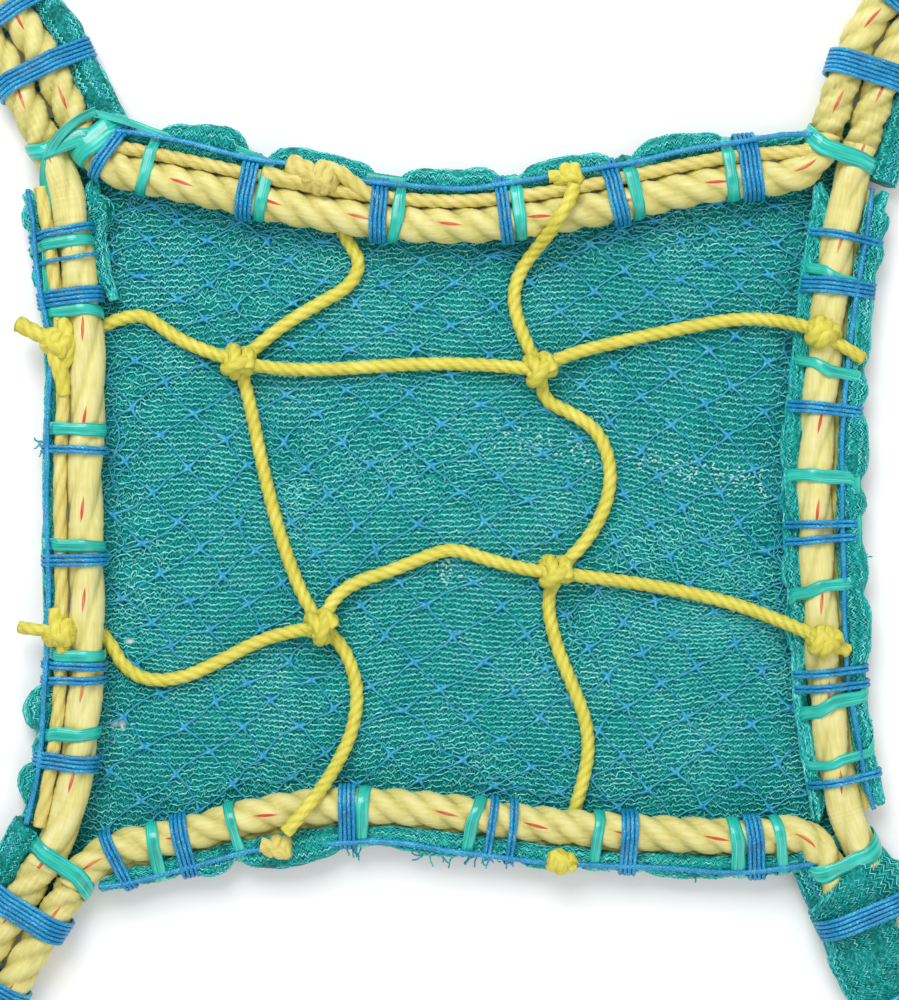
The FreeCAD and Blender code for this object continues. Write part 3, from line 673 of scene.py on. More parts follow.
# %% Sweep the selvedge cord
SELVEDGE_OUT, SELVEDGE_Z = 7.85, 11.86
SELVEDGE_UNDER = (7.4, 6.2)  # in front and on the right the rolled net covers the cord
for number, side in enumerate(SIDES):
    level = axis_of(side) == 0
    place = SELVEDGE_UNDER if side in ("front", "right") else (SELVEDGE_OUT, SELVEDGE_Z)
    line = beside(side, *place, 36)
    mesh = close_up(sweep(f"selvedge_cord_{side}_laid", [line], CORD, 0.014 if level else 0.03,
                          radii=[wobble(line, 0.08, 10 + number)]))
    shown = piece(f"selvedge_cord_{side}_laid", mesh, old_cord_finish)
    stands_for("selvedge_cord", side)
    on_panel(shown)

# %% [markdown]
# ## Mesh cords
# Each cord is one length from border to border, and it goes back into the object at both ends, under
# a lashed rope or a hitch.

# %% Sweep the mesh cords
CORDS = {
    "mesh_cord_column_left": (COLUMN_LEFT, ["mesh_cord_column_left"]),
    "mesh_cord_column_right": (COLUMN_RIGHT, ["mesh_cord_column_right"]),
    "mesh_cord_row_rear": (ROW_REAR, ["mesh_cord_row_rear_left", "mesh_cord_row_rear_right"]),
    "mesh_cord_row_front": (ROW_FRONT, ["mesh_cord_row_front_left", "mesh_cord_row_front_right"]),
}
for number, (name, (line, nodes)) in enumerate(CORDS.items()):
    mesh = close_up(sweep(f"{name}_laid", [line], CORD, 0.012,
                          radii=[wobble(line, 0.07, 20 + number)]))
    shown = piece(f"{name}_laid", mesh, cord_finish)
    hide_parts(*nodes)
    on_panel(shown)

# %% [markdown]
# ## Knots
# Where two cords cross, one is tied round the other. The knot is a lump of short wraps that sit
# tight on each other: a turn and a half round the row cord, one turn across the crossing, and one
# round the column cord.

# %% Turns of cord round an axis
def turns(centre, along, across, radii_mm, pitch, count, start=0.0, lean=0.0):
    """Control points of turns round an axis: radii across and up, pitch along, in millimetres."""
    points = []
    per_turn = 8
    for i in range(round(per_turn * count) + 1):
        angle = start + 2 * math.pi * i / per_turn
        slide = pitch * (i / per_turn - count / 2) + lean * math.sin(angle)
        points.append(Vector(centre) + along * slide
                      + across * (radii_mm[0] * 1.08 * math.cos(angle))
                      + UP * (radii_mm[1] * 1.08 * math.sin(angle)))
    return smooth_line([p * MM for p in points], 8)


KNOTS = {  # middle, direction of the row cord and of the column cord in degrees
    "rear_left": ((-70.7, 49.3), -12, 60),
    "rear_right": ((30.0, 46.7), 12, 95),
    "front_left": ((-42.7, -39.0), 20, 128),
    "front_right": ((35.3, -21.0), -4, 75),
}
for number, (name, (middle, row, column)) in enumerate(KNOTS.items()):
    along_row = Vector((math.cos(math.radians(row)), math.sin(math.radians(row)), 0))
    along_col = Vector((math.cos(math.radians(column)), math.sin(math.radians(column)), 0))
    diagonal = (along_row + along_col).normalized()
    beside_row = UP.cross(along_row)
    centre = (*middle, 6.9)
    lines = [
        turns(centre, along_row, beside_row, (4.0, 4.0), 4.6, 1.55, -1.2, 0.7),
        turns((*middle, 7.6), diagonal.cross(UP), diagonal, (4.5, 4.2), 1.4, 1.15, -1.9, 1.0),
        turns((*middle, 6.3), along_col, UP.cross(along_col), (4.0, 3.5), 3.2, 1.1, 0.6, 0.5),
    ]
    mesh = close_up(sweep(f"mesh_knot_{name}_wraps", lines, WRAP, 0.010, twist="MINIMUM"))
    shown = piece(f"mesh_knot_{name}_wraps", mesh, cord_finish)
    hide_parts(f"mesh_knot_{name}")
    on_panel(shown)

# %% [markdown]
# ### Hitches on the border
# Each mesh cord is hitched to the border rope or the selvedge cord, and its tail is cut blunt. A
# hitch is two or three turns round the tail's own direction, and the tail swells a little at its cut
# end, where the strands open.

# %% Tie the hitches
HITCHES = {  # middle of the knot, end of the tail, knot radius, tail's thickness
    "left_rear": ((-129.6, 54.9, 13.6), (-143.2, 61.8, 13.1), 4.4, 1.25),
    "left_front": ((-128.8, -40.6, 13.9), (-142.8, -38.9, 11.9), 4.8, 0.95),
    "rear_left": ((-42.6, 110.0, 12.6), (-53.4, 114.6, 12.4), 5.6, 1.75),
    "front_left": ((-56.5, -111.9, 12.2), (-62.7, -110.9, 14.2), 3.6, 1.1),
    "right_rear": ((122.6, 58.6, 15.8), (136.8, 50.1, 13.6), 5.0, 0.95),
    "right_front": ((123.3, -43.3, 16.4), (131.6, -46.6, 13.4), 5.2, 1.0),
    "rear_right": ((39.7, 111.2, 11.6), (32.7, 110.5, 13.1), 3.8, 0.9),
    "front_right": ((36.4, -116.8, 11.6), (41.3, -118.8, 12.1), 3.8, 0.8),
}
STANDING = {  # the part of a hitch that runs on along the selvedge
    "rear_left": [[(-46, 107.5, 13), (-43, 113.4, 14), (-37.5, 112.6, 14), (-32, 108.4, 13.6),
                   (-27, 104.6, 13), (-22, 102.6, 12.6)],
                  [(-62, 111.5, 12.6), (-54, 110, 13), (-47, 108.8, 13.4), (-42, 106, 13)]],
    "left_rear": [[(-131.5, 60, 13), (-131.4, 52, 14.4), (-129, 45, 13.4), (-128, 38, 12.4)],
                  [(-128.5, 63, 12.4), (-126.6, 57, 14), (-126.8, 50, 13.6), (-129, 47.5, 13)]],
    "left_front": [[(-131, -33, 12.4), (-130.4, -40, 14.6), (-128, -47, 13)]],
}
for number, (name, (middle, end, radius, thick)) in enumerate(HITCHES.items()):
    middle, end = Vector(middle), Vector(end)
    run = (end - middle).normalized()
    flat = Vector((run.x, run.y, 0)).normalized()
    aside = UP.cross(flat)
    wrap = radius - 1.7
    lines = [
        turns(middle, flat, aside, (wrap, wrap), 3.0, 2.1, 0.4, 0.8),
        turns(middle + UP * 0.4, aside, flat, (wrap * 1.05, wrap * 0.9), 2.2, 1.2, 2.2, 0.7),
    ]
    tail = smooth_line([p * MM for p in (
        middle - flat * 2, middle + run * radius * 0.5, middle.lerp(end, 0.6) + UP * 0.8, end)], 10)
    swell = [thick * (0.85 + 0.2 * i / len(tail)) for i in range(len(tail))]
    parts = [close_up(sweep("wraps", lines, WRAP, 0.010, twist="MINIMUM")),
             close_up(sweep("tail", [tail], CORD, 0.012, radii=[swell]))]
    for points in STANDING.get(name, []):
        line = smooth_line([Vector(p) * MM for p in points], 12)
        parts.append(close_up(sweep("standing part", [line], CORD, 0.016,
                                    radii=[[1.2 - 0.15 * i / len(line) for i in range(len(line))]])))
    mesh = joined(f"hitch_{name}_tied", parts)
    finish = old_cord_finish if name in ("rear_left", "front_left") else cord_finish
    shown = piece(f"hitch_{name}_tied", mesh, finish)
    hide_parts(f"hitch_{name}")
    on_panel(shown)

# %% [markdown]
# ## Lashings
# Twine is wound several times round the rope, the selvedge cord and the rolled edge of the nets.
# Pulled tight, it takes the shortest way round all three, so its line is the rim of the circles that
# they make, seen along the rope. Each place on the rim is the farthest reach of the circles in one
# direction, and a whole lashing is that rim walked several times while it creeps along the rope.

# %% The tight rim round a bundle
ROPE_CIRCLE = (0, ROPE_Z, ROPE_R)
SELVEDGE_CIRCLE = (SELVEDGE_OUT, SELVEDGE_Z, 2.25)
BUNDLES = {  # circles seen along the rope: middle outward and up, radius
    "rear": [ROPE_CIRCLE, (11.2, 6.8, 3.4), SELVEDGE_CIRCLE],
    "front": [ROPE_CIRCLE, (9.6, 8.2, 3.7)],
    "left": [ROPE_CIRCLE, (10.8, 6.4, 3.2), SELVEDGE_CIRCLE],
    "right": [ROPE_CIRCLE, (9.8, 8.4, 3.7), (-6.0, 7.2, 2.9)],
}
START_BELOW = -math.pi / 2


def rim(circles, gap, count, pitch, skew=0.0, phase=0.0, fine=1.0):
    """Points (outward, up, along) of a line wound tight round circles, in millimetres."""
    corners = []
    per_turn = 30
    for k in range(round(per_turn * count) + 1):
        angle = START_BELOW + 2 * math.pi * k / per_turn
        n = Vector((math.cos(angle), math.sin(angle)))
        a, u, r = max(circles, key=lambda c: c[0] * n.x + c[1] * n.y + c[2])
        along = pitch * (k / per_turn - count / 2) + skew * math.cos(angle + phase)
        corners.append(Vector((a + n.x * (r + gap), u + n.y * (r + gap), along)))
    line = [corners[0]]
    for q in corners[1:]:
        p = line[-1]
        pieces_here = max(1, round((q - p).length / fine))
        line += [p.lerp(q, (i + 1) / pieces_here) for i in range(pieces_here)]
    return line


def placed(line, place, across):
    """A line or mesh in (outward, up, along) put on the object, in metres."""
    along = across.cross(UP)
    matrix = Matrix((
        (across.x, 0, along.x, place.x), (across.y, 0, along.y, place.y), (0, 1, 0, 0), (0, 0, 0, 1)))
    if isinstance(line, list):
        return [matrix @ (p * MM) for p in line]
    line.transform(matrix)
    return line


TWINES = {  # place along the side, turns, and the side on which a tape lies close
    "rear": [(-68, 4, 1), (-24, 4, 1), (18.3, 3, 1), (55.7, 4, 1), (100, 5, -1)],
    "front": [(-89.3, 4, 0), (-34.3, 4, 1), (14, 2, 0), (21, 2, 0), (59.5, 4, 0), (101, 4, -1)],
    "left": [(93, 2, -1), (83.7, 1, 0), (71.3, 4, -1), (20, 2, 0), (-16.5, 3, 1), (-51.8, 2, 1),
             (-56.6, 2, 0), (-84, 4, 0)],
    "right": [(91, 2, 0), (74.2, 4, 1), (33.7, 3, 0), (-4.8, 2, 0), (-9.8, 2, 0), (-54, 2, 0),
              (-59, 2, 0), (-90, 2, 0)],
}
TAPES = {
    "rear": [-101], "front": [-99, -72.3, 8, 48], "left": [26.7, -74.7],
    "right": [46.5, 9, -28.3, -64.5, -80],
}
TWINE_D, TAPE_W = 1.5, 3.6
CORNER_WRAPS = {"rear": [(-115.2, 3, 0)], "front": [(-112, 3, 0)], "left": [], "right": []}
CORNER_TAPES = {"rear": [-119.4], "front": [108.5], "left": [], "right": []}


def tape_places(side):
    """Every tape's place along a side: those beside a twine, and those on their own."""
    close = [place + sign * (count * TWINE_D / 2 + 0.8 + TAPE_W / 2)
             for place, count, sign in TWINES[side] if sign]
    return close + TAPES[side] + CORNER_TAPES[side]


# %% Wind the twine
random.seed(4)
twine_lines = {"left": [], "right": []}
for side in SIDES:
    for place, count, _ in TWINES[side] + CORNER_WRAPS[side]:
        half = half_of(side, place)
        centre, across = on_side(side, place)
        line = rim(BUNDLES[side], 0.85, count + 0.1, TWINE_D * 0.97, random.uniform(-0.5, 0.5), fine=0.9)
        twine_lines[half].append(placed(line, Vector((centre.x, centre.y, 0)), across))
for half, lines in twine_lines.items():
    mesh = close_up(sweep(f"twine_lashings_{half}_wound", lines, TWINE, 0.004, twist="MINIMUM"))
    shown = piece(f"twine_lashings_{half}_wound", mesh, twine_finish)
    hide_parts(f"twine_lashings_{half}")
    on_panel(shown)

# %% [markdown]
# ## Flat tape
# Green tape is tied round the border between the twine lashings. It lies at a slight slant, folds a
# little along its length and narrows where it is pulled over an edge. A flat outline is swept round
# the same rim, and each tape is then put in place.

# %% Wrap the tape
def tape_loop(circles, skew, width, seed, gap=0.35):
    """One closed tape, in (outward, up, along)."""
    line = [p * MM for p in rim(circles, gap, 1, 0.0, skew, 0.4 + seed, fine=1.4)[:-1]]
    radii = [width * (1 + 0.22 * noise.noise(Vector((p.x * 160, p.y * 160, seed)))) for p in line]
    lean = [0.16 * noise.noise(Vector((p.x * 120, p.y * 120, seed + 9))) for p in line]
    return sweep("tape", [line], TAPE, 0.0, closed=True, radii=[radii], tilts=[lean])


SLANTS = {"rear": (-1.3, 1.3), "front": (-1.6, 1.0), "left": (-0.6, 1.6), "right": (2.6, 4.6)}
random.seed(11)
tapes = {"left": [], "right": []}
for side in SIDES:
    for number, place in enumerate(tape_places(side)):
        half = half_of(side, place)
        centre, across = on_side(side, place)
        slant = random.uniform(*SLANTS[side])
        broad = 2.1 if place < -115 else random.uniform(0.85, 1.15)
        loop = tape_loop(BUNDLES[side], slant, broad, number + len(side))
        tapes[half].append(placed(loop, Vector((centre.x, centre.y, 0)), across))

# %% [markdown]
# ## Corner loops
# At each corner the border rope runs out as two legs lashed side by side and ends in an eye, by
# which the net is hung. The eye's round end is a NURBS line too: its control points are where the
# tangents of the circle meet.

# %% Corner loop lines
EYE = (172.0, 192.0, 6.1)
EYE_R, SPREAD = 14.0, math.radians(20)
GATHER_OUT, GATHER_Z = 16.55, 5.9  # a rolled corner's axis, from the middle of the loop and up
GATHER_SIDE = {"rear_left": 1, "rear_right": -1, "front_left": -1, "front_right": 1}
SEIZINGS = {"rear_left": ((23.1, 5), (43.6, 4)), "rear_right": ((24.1, 6), (48.0, 4)),
            "front_left": ((15.2, 6), (42.0, 5)), "front_right": ((17.7, 5), (47.4, 4))}


class Loop:
    """The straight lines that a corner loop follows, in millimetres."""

    def __init__(self, corner):
        x, y = THROATS[corner]
        self.sx, self.sy = math.copysign(1, x), math.copysign(1, y)
        self.throat, self.knee = Vector((x, y, 0)), Vector((*KNEES[corner], 0))
        self.eye = Vector((self.sx * EYE[0], self.sy * EYE[1], 0))
        self.first = (self.knee - self.throat).normalized()
        self.last = (self.eye - self.knee).normalized()

    def across(self, along):
        return Vector((-self.sx * abs(along.y), self.sy * abs(along.x), 0))

    def at_knee(self, out):
        """Where a line that keeps its distance from the loop's middle turns at the knee."""
        one, other = self.across(self.first), self.across(self.last)
        miter = (one + other).normalized()
        return self.knee + miter * (out / miter.dot(one))

    def at(self, distance):
        """The middle of the legs at a distance from the throat, and across there."""
        reach = (self.knee - self.throat).length
        if distance <= reach:
            return self.throat + self.first * distance, self.across(self.first)
        return self.knee + self.last * (distance - reach), self.across(self.last)


def along_loop(loop, out, height, before, after, per_span=12):
    """A smooth line beside a loop's legs, by distances before and after its knee, in metres."""
    points = [centre + across * out for centre, across in map(loop.at, before)]
    points.append(loop.at_knee(out))
    points += [centre + across * out for centre, across in map(loop.at, after)]
    return smooth_line([(p + UP * height) * MM for p in points], per_span)


def loop_line(loop):
    """Out along one leg, round the eye and back along the other."""
    half = LEG_OUT
    opening = (EYE_R * math.cos(SPREAD) - half) / math.sin(SPREAD)
    forward, near = opening * math.cos(SPREAD), EYE_R * math.sin(SPREAD)
    lift = UP * ROPE_Z
    legs = []
    for sign in (1, -1):
        cross_first, cross_last = loop.across(loop.first), loop.across(loop.last)
        legs.append([
            loop.throat + cross_first * (sign * half) + lift,
            loop.at_knee(sign * half) - loop.first * 6 + lift,
            loop.at_knee(sign * half) + loop.last * 6 + lift,
            loop.eye - loop.last * (near + forward) + cross_last * (sign * half) + lift,
            loop.eye - loop.last * (near + forward * 0.5) + cross_last * (sign * 9.3)
            + UP * (EYE[2] + 0.6),
        ])
    crown = []
    one = loop.across(loop.last)
    for degrees in (88, 44, 0, -44, -88):
        angle = math.radians(degrees)
        crown.append(loop.eye + (loop.last * math.cos(angle) + one * math.sin(angle))
                     * (EYE_R / math.cos(math.radians(22))) + UP * EYE[2])
    return smooth_line([p * MM for p in legs[0] + crown + legs[1][::-1]], 14)


def on_corner(shown):
    """Bake a corner piece's placing into its mesh; it stays flat with the panel."""
    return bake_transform(shown)


LOOPS = {corner: Loop(corner) for corner in THROATS}
for number, (corner, loop) in enumerate(LOOPS.items()):
    line = loop_line(loop)
    mesh = close_up(sweep(f"corner_loop_{corner}_laid", [line], ROPE, ROPE_LAY,
                          radii=[wobble(line, 0.06, 30 + number)]))
    shown = piece(f"corner_loop_{corner}_laid", mesh, rope_finish)
    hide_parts(f"corner_loop_{corner}")
    on_corner(shown)
    print(corner, "loop:", round(length_of(line), 3), "m")

# %% [markdown]
# ### Seizings and throat tapes
# Two twine seizings hold each loop's legs and the rolled corner of the nets together, and a broad
# tape closes the throat.

# %% Wind the seizings and the throat tapes
random.seed(21)
for corner, loop in LOOPS.items():
    lines = []
    for distance, count in SEIZINGS[corner]:
        centre, across = loop.at(distance)
        across = across * GATHER_SIDE[corner]
        circles = [(-LEG_OUT, ROPE_Z, ROPE_R), (LEG_OUT, ROPE_Z, ROPE_R), (GATHER_OUT, GATHER_Z, 4.2)]
        if corner == "front_right":  # outside the sleeve of net
            circles = [(-6.0, 10.1, 8.5), (8.0, 10.1, 8.5)]
        line = rim(circles, 0.85, count + 0.1, TWINE_D * 0.97, random.uniform(-0.8, 0.8), fine=0.9)
        lines.append(placed(line, centre * MM, across))
    mesh = close_up(sweep(f"corner_seizing_{corner}_wound", lines, TWINE, 0.004, twist="MINIMUM"))
    shown = piece(f"corner_seizing_{corner}_wound", mesh, twine_finish)
    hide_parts(f"corner_seizing_{corner}")
    on_corner(shown)
    legs = [(-LEG_OUT, ROPE_Z, ROPE_R), (LEG_OUT, ROPE_Z, ROPE_R)]
    slanted = tape_loop(legs, 3.0, 1.45, len(corner) + 3)
    tapes[corner.split("_")[1]].append(placed(slanted, (loop.throat - loop.first * 2.7) * MM,
                                              loop.across(loop.first)))
for half, loops in tapes.items():
    mesh = close_up(joined(f"tape_lashings_{half}_wrapped", loops))
    shown = piece(f"tape_lashings_{half}_wrapped", mesh, tape_finish)
    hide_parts(f"tape_lashings_{half}")
    on_panel(shown)

# %% [markdown]
# ## The rolled edge of the nets
# Outside the border rope the nets' edge is rolled up and caught by every lashing. It is pinched
# there and puffs out between, which gives the scalloped outline. The roll is swept with a radius
# that follows the distance to the nearest lashing, and noise then moves its skin. Two smaller folds
# of net lie along the inside of the left and right ropes. Zigzag yarns are laid over every roll.

# %% Puffed rolls
def crumple(mesh, size, height, seed):
    """Move the skin in and out by noise, for folds of about this size."""
    bm = bmesh.new()
    bm.from_mesh(mesh)
    bm.normal_update()
    for vertex in bm.verts:
        step = noise.noise(vertex.co / size + Vector((seed, 0, 0)))
        move = vertex.normal * step * height
        if vertex.co.z + move.z > 0.0004:
            vertex.co += move
    bm.to_mesh(mesh)
    bm.free()
    return mesh


FULLNESS = {  # how full the roll is, by place along each side
    "rear": [(-118, 0.9), (-100, 1.2), (-85, 1.35), (-72, 1.6), (-60, 1.2), (-48, 1.3), (-38, 1.2),
             (-24, 1.1), (18, 1.15), (56, 1.1), (75, 1.2), (98, 0.9), (118, 1.0)],
    "front": [(-118, 1.2), (-95, 0.9), (-62, 1.15), (-52, 1.4), (-40, 1.1), (-27, 0.7), (0, 0.9),
              (15, 1.0), (50, 0.75), (90, 0.8), (118, 1.2)],
    "left": [(-110, 1.2), (-90, 1.3), (-77, 0.8), (-68, 1.3), (-55, 0.9), (-40, 0.6), (40, 0.6),
             (75, 0.8), (90, 1.3), (110, 0.9)],
    "right": [(-110, 0.9), (-95, 0.7), (-63, 0.6), (-40, 0.85), (20, 0.85), (60, 0.7), (110, 0.8)],
}


def between(table, place):
    """The value at a place in a table of (place, value)."""
    for (p, a), (q, b) in zip(table, table[1:]):
        if place <= q:
            return a + (b - a) * min(max((place - p) / (q - p), 0.0), 1.0)
    return table[-1][1]


def puffed(side, line):
    """The roll's radius at each point of the line, as a share of its outline's."""
    axis = axis_of(side)
    held = [place for place, _, _ in TWINES[side]] + tape_places(side)
    swell = []
    for i, p in enumerate(line):
        away = min(abs(p[axis] / MM - place) for place in held)
        puff = min(1.0, away / 8.0)
        puff = puff * puff * (3 - 2 * puff)
        full = between(FULLNESS[side], p[axis] / MM)
        swell.append(max(0.5, min(0.86, 0.86 * full + 0.1) + puff * (0.42 + full - 1.0)
                         + 0.14 * noise.noise(p * 90 + Vector((3, 0, 0)))))
    return swell


def flattened(mesh, floor=0.0005):
    """Press what would lie below the floor up to it, as a roll that rests on the ground."""
    for vertex in mesh.vertices:
        vertex.co.z = max(vertex.co.z, floor + 0.1 * (vertex.co.z + 0.003))
    return mesh


def roll_yarns(line, swell, first, last, count, seed, squat=1.0):
    """Zigzag yarns along the skin of a roll: angles in degrees, 90 at its top."""
    lines = []
    steps = max(2, round(length_of(line) / (STITCH / 2)))
    spread = [0.0]
    for p, q in zip(line, line[1:]):
        spread.append(spread[-1] + (q - p).length)
    for k in range(count):
        run, at = [], 0
        for step in range(steps):
            want = spread[-1] * step / steps
            while at < len(spread) - 2 and spread[at + 1] < want:
                at += 1
            share = (want - spread[at]) / (spread[at + 1] - spread[at])
            centre = line[at].lerp(line[at + 1], share)
            side_way = (line[at + 1] - line[at]).cross(UP).normalized()
            radius = ROLL_R * (swell[at] + (swell[at + 1] - swell[at]) * share) + 0.0003
            angle = math.radians(first + (last - first) * (k + (1.1 if step % 2 else 0.0)
                                                           + random.uniform(-0.4, 0.4)) / count)
            radius += 0.0009 * noise.noise(centre / 0.006 + Vector((seed, angle * 2, 0)))
            point = (centre + side_way * (radius * math.cos(angle))
                     + UP * (radius * squat * math.sin(angle)))
            point.z = max(point.z, 0.0004)
            run.append(point)
        lines.append(run)
    return lines


def show_yarns(name, kinds, hold):
    """A piece for each kind of yarn, held to its bodies by the function hold."""
    for kind, lines, finish in kinds:
        mesh = close_up(sweep(f"{name}_{kind}_yarns", lines, FINE))
        hold(piece(f"{name}_{kind}_yarns", mesh, finish))


ROLLS = {  # side, how far out, height, fullness, and the stretch along the side that it covers
    "net_hem_rear": ("rear", 11.2, 6.8, 1.0, (-150, 150)),
    "net_hem_front": ("front", 9.6, 8.2, 1.0, (-150, 150)),
    "net_hem_left": ("left", 10.8, 6.4, 1.05, (-150, 150)),
    "net_hem_right": ("right", 9.8, 8.4, 1.3, (-150, 150)),
    "net_fold_right": ("right", -6.6, 6.4, 0.95, (-150, 150)),
    "net_fold_left": ("left", -6.8, 5.0, 1.0, (68, 150)),
}
random.seed(51)
for number, (name, (side, out, height, full, (start, stop))) in enumerate(ROLLS.items()):
    axis = axis_of(side)
    line = [p for p in beside(side, out, height, 24) if start * MM < p[axis] < stop * MM]
    last = len(line) - 1
    swell = [w * full * min(1.0, 0.25 + 0.055 * min(i, last - i))
             for i, w in enumerate(puffed(side, line))]
    moved = [p + outward_at(side, line, i) * math.copysign((swell[i] - 0.9) * 0.005, out)
             for i, p in enumerate(line)]
    mesh = sweep(f"{name}_rolled", [moved], ROLL, 0.05, radii=[swell])
    mesh = flattened(crumple(close_up(mesh), 0.006, 0.0009, number))
    shown = piece(f"{name}_rolled", mesh, rolled_net)
    if "hem" in name:
        stands_for("net_hem", side)
    on_panel(shown)
    yarns = roll_yarns(moved, swell, -25, 205, 16, number)
    show_yarns(name, [("pale", yarns[::3], lit_flat_yarn),
                      ("green", yarns[1::3] + yarns[2::3], shaded_edge_yarn)], on_panel)

# %% Rolled corners of the nets, which run out beside the loops
for number, (corner, loop) in enumerate(LOOPS.items()):
    out = 12.0 if corner == "front_right" else GATHER_SIDE[corner] * GATHER_OUT
    last_seizing = SEIZINGS[corner][1][0]
    line = along_loop(loop, out, GATHER_Z, (-9, 0, 8, 16), (last_seizing - 3, last_seizing + 3.8))
    held = [d for d, _ in SEIZINGS[corner]]
    travelled, swell = -9.0, []
    for i, p in enumerate(line):
        travelled += (p - line[i - 1]).length / MM if i else 0.0
        puff = min(1.0, min(abs(travelled - d) for d in held) / 9.0)
        swell.append(1.15 + 0.35 * puff + 0.12 * noise.noise(p * 90))
    mesh = sweep(f"net_gather_{corner}_rolled", [line], ROLL, 0.05, radii=[swell])
    mesh = flattened(crumple(close_up(mesh), 0.006, 0.0012, 7 + number))
    shown = piece(f"net_gather_{corner}_rolled", mesh, rolled_net)
    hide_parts(f"net_gather_{corner}")
    on_corner(shown)
    yarns = roll_yarns(line, swell, -25, 205, 20, 7 + number)
    show_yarns(f"net_gather_{corner}",
               [("pale", yarns[::3], lit_flat_yarn), ("green", yarns[1::3], shaded_edge_yarn),
                ("blue", yarns[2::6], net_twine_finish)], lambda shown: on_corner(shown))

# %% The sleeve of net round the front right loop's legs
SLEEVE_WIDE, SLEEVE_HIGH = 0.0155, 0.0084  # half widths
SLEEVE_OUT, SLEEVE_Z = 1.0, 8.2
SLEEVE = outline("sleeve outline", [
    (SLEEVE_WIDE * math.cos(math.radians(15 * i)), SLEEVE_HIGH * math.sin(math.radians(15 * i)))
    for i in range(24)])
loop = LOOPS["front_right"]
points = []
for distance in (3, 9, 17.7, 24):
    centre, across = loop.at(distance)
    points.append(centre + across * (SLEEVE_OUT + (3 if distance < 5 else 0)) + UP * SLEEVE_Z)
points.append(loop.at_knee(SLEEVE_OUT) + UP * SLEEVE_Z)
for distance in (46, 52):
    centre, across = loop.at(distance)
    points.append(centre + across * SLEEVE_OUT + UP * SLEEVE_Z)
line = smooth_line([p * MM for p in points], 12)
swell = [0.97 + 0.1 * noise.noise(p * 80) + (0.1 if 8 < i < 28 or i > 40 else 0.0)
         for i, p in enumerate(line)]
swell[0], swell[1] = 0.7, 0.86
mesh = close_up(sweep("net_sleeve", [line], SLEEVE, radii=[swell]))
mesh = flattened(crumple(mesh, 0.006, 0.0012, 3))
on_corner(piece("net_sleeve_front_right", mesh, rolled_net))
yarns = roll_yarns(line, [w * 4.58 for w in swell], -20, 200, 34, 3, 0.54)
show_yarns("net_sleeve_front_right",
           [("pale", yarns[::3], lit_flat_yarn), ("green", yarns[1::3] + yarns[2::3], shaded_edge_yarn)],
           lambda shown: on_corner(shown))

# %% [markdown]
# ## Knitted debris net
# The green net is a sheet of knitted slit tape. A yarn painted pale, as lit tape lying flat, runs along
# every row in small waves, and one painted darker, as tape in shade on edge, zigzags from row to row,
# so there are about 53 rows to every 10 cm.
# The yarns are swept with a flat four-sided outline, because there are tens of thousands of
# stitches. Behind them a thin closed sheet stands for the second layer of the net, dark where no
# light comes through. It starts as a grid and is fitted between the four ropes.

# %% Where the nets reach
def edge_value(side, place):
    """The rope's axis at a place along a side, as its other coordinate, in metres."""
    axis = axis_of(side)
    line = AXES[side]
    low, high = sorted((line[0][axis], line[-1][axis]))
    place = min(max(place, low), high)
    for p, q in zip(line, line[1:]):
        if min(p[axis], q[axis]) <= place <= max(p[axis], q[axis]):
            share = (place - p[axis]) / ((q[axis] - p[axis]) or 1)
            return p.lerp(q, share)[1 - axis]
    return line[-1][1 - axis]


EDGES = {side: [edge_value(side, (i - 140) * MM) for i in range(281)] for side in SIDES}


def limit(side, place, out):
    """The nets' limit: the rope's axis from a table of one value each millimetre, moved outward."""
    spot = min(max(place / MM + 140, 0.0), 279.999)
    i = int(spot)
    values = EDGES[side]
    sign = SIDES[side][2][0] + SIDES[side][2][1]
    return values[i] + (values[i + 1] - values[i]) * (spot - i) + sign * out


def inside(x, y, out):
    """True where the nets lie, out metres beyond the rope's axis."""
    return (limit("front", x, out) < y < limit("rear", x, out)
            and limit("left", y, out) < x < limit("right", y, out))


# Holes torn through both layers: middle and half widths.
HOLES = [(-108.3, -44.7, 1.7, 0.9), (-111.7, -72.3, 2.0, 1.2)]


def torn(x, y, grow=1.0):
    return any(((x / MM - hx) / (rx * grow)) ** 2 + ((y / MM - hy) / (ry * grow)) ** 2 < 1
               for hx, hy, rx, ry in HOLES)


print("the net at x = 0 reaches from", round(limit("front", 0, 0), 3), "to",
      round(limit("rear", 0, 0), 3))

# %% Backing sheet
NET_REACH = 0.0055


def fit_between(u, v):
    """A place in the unit square put between the four ropes, with straight runs between opposites."""
    x = -0.128 + 0.257 * u
    y = limit("front", x, NET_REACH) * (1 - v) + limit("rear", x, NET_REACH) * v
    left, right = limit("left", y, NET_REACH), limit("right", y, NET_REACH)
    x = left * (1 - u) + right * u
    y = limit("front", x, NET_REACH) * (1 - v) + limit("rear", x, NET_REACH) * v
    return Vector((x, y, 0.0002))


bm = bmesh.new()
bmesh.ops.create_grid(bm, x_segments=150, y_segments=130, size=0.5)
for vertex in bm.verts:
    vertex.co = fit_between(vertex.co.x + 0.5, vertex.co.y + 0.5)
gone = [f for f in bm.faces if torn(*f.calc_center_median().xy, 1.25)]
bmesh.ops.delete(bm, geom=gone, context="FACES")
for vertex in bm.verts:
    vertex.co.z += 0.00012 * (1 + noise.noise(vertex.co * 60))
bmesh.ops.recalc_face_normals(bm, faces=bm.faces)
bmesh.ops.solidify(bm, geom=bm.faces[:], thickness=0.00018)
bmesh.ops.recalc_face_normals(bm, faces=bm.faces)
sheet_mesh = bpy.data.meshes.new("debris_net_backing")
bm.to_mesh(sheet_mesh)
bm.free()
backing_sheet = piece("debris_net_backing", sheet_mesh, backing)

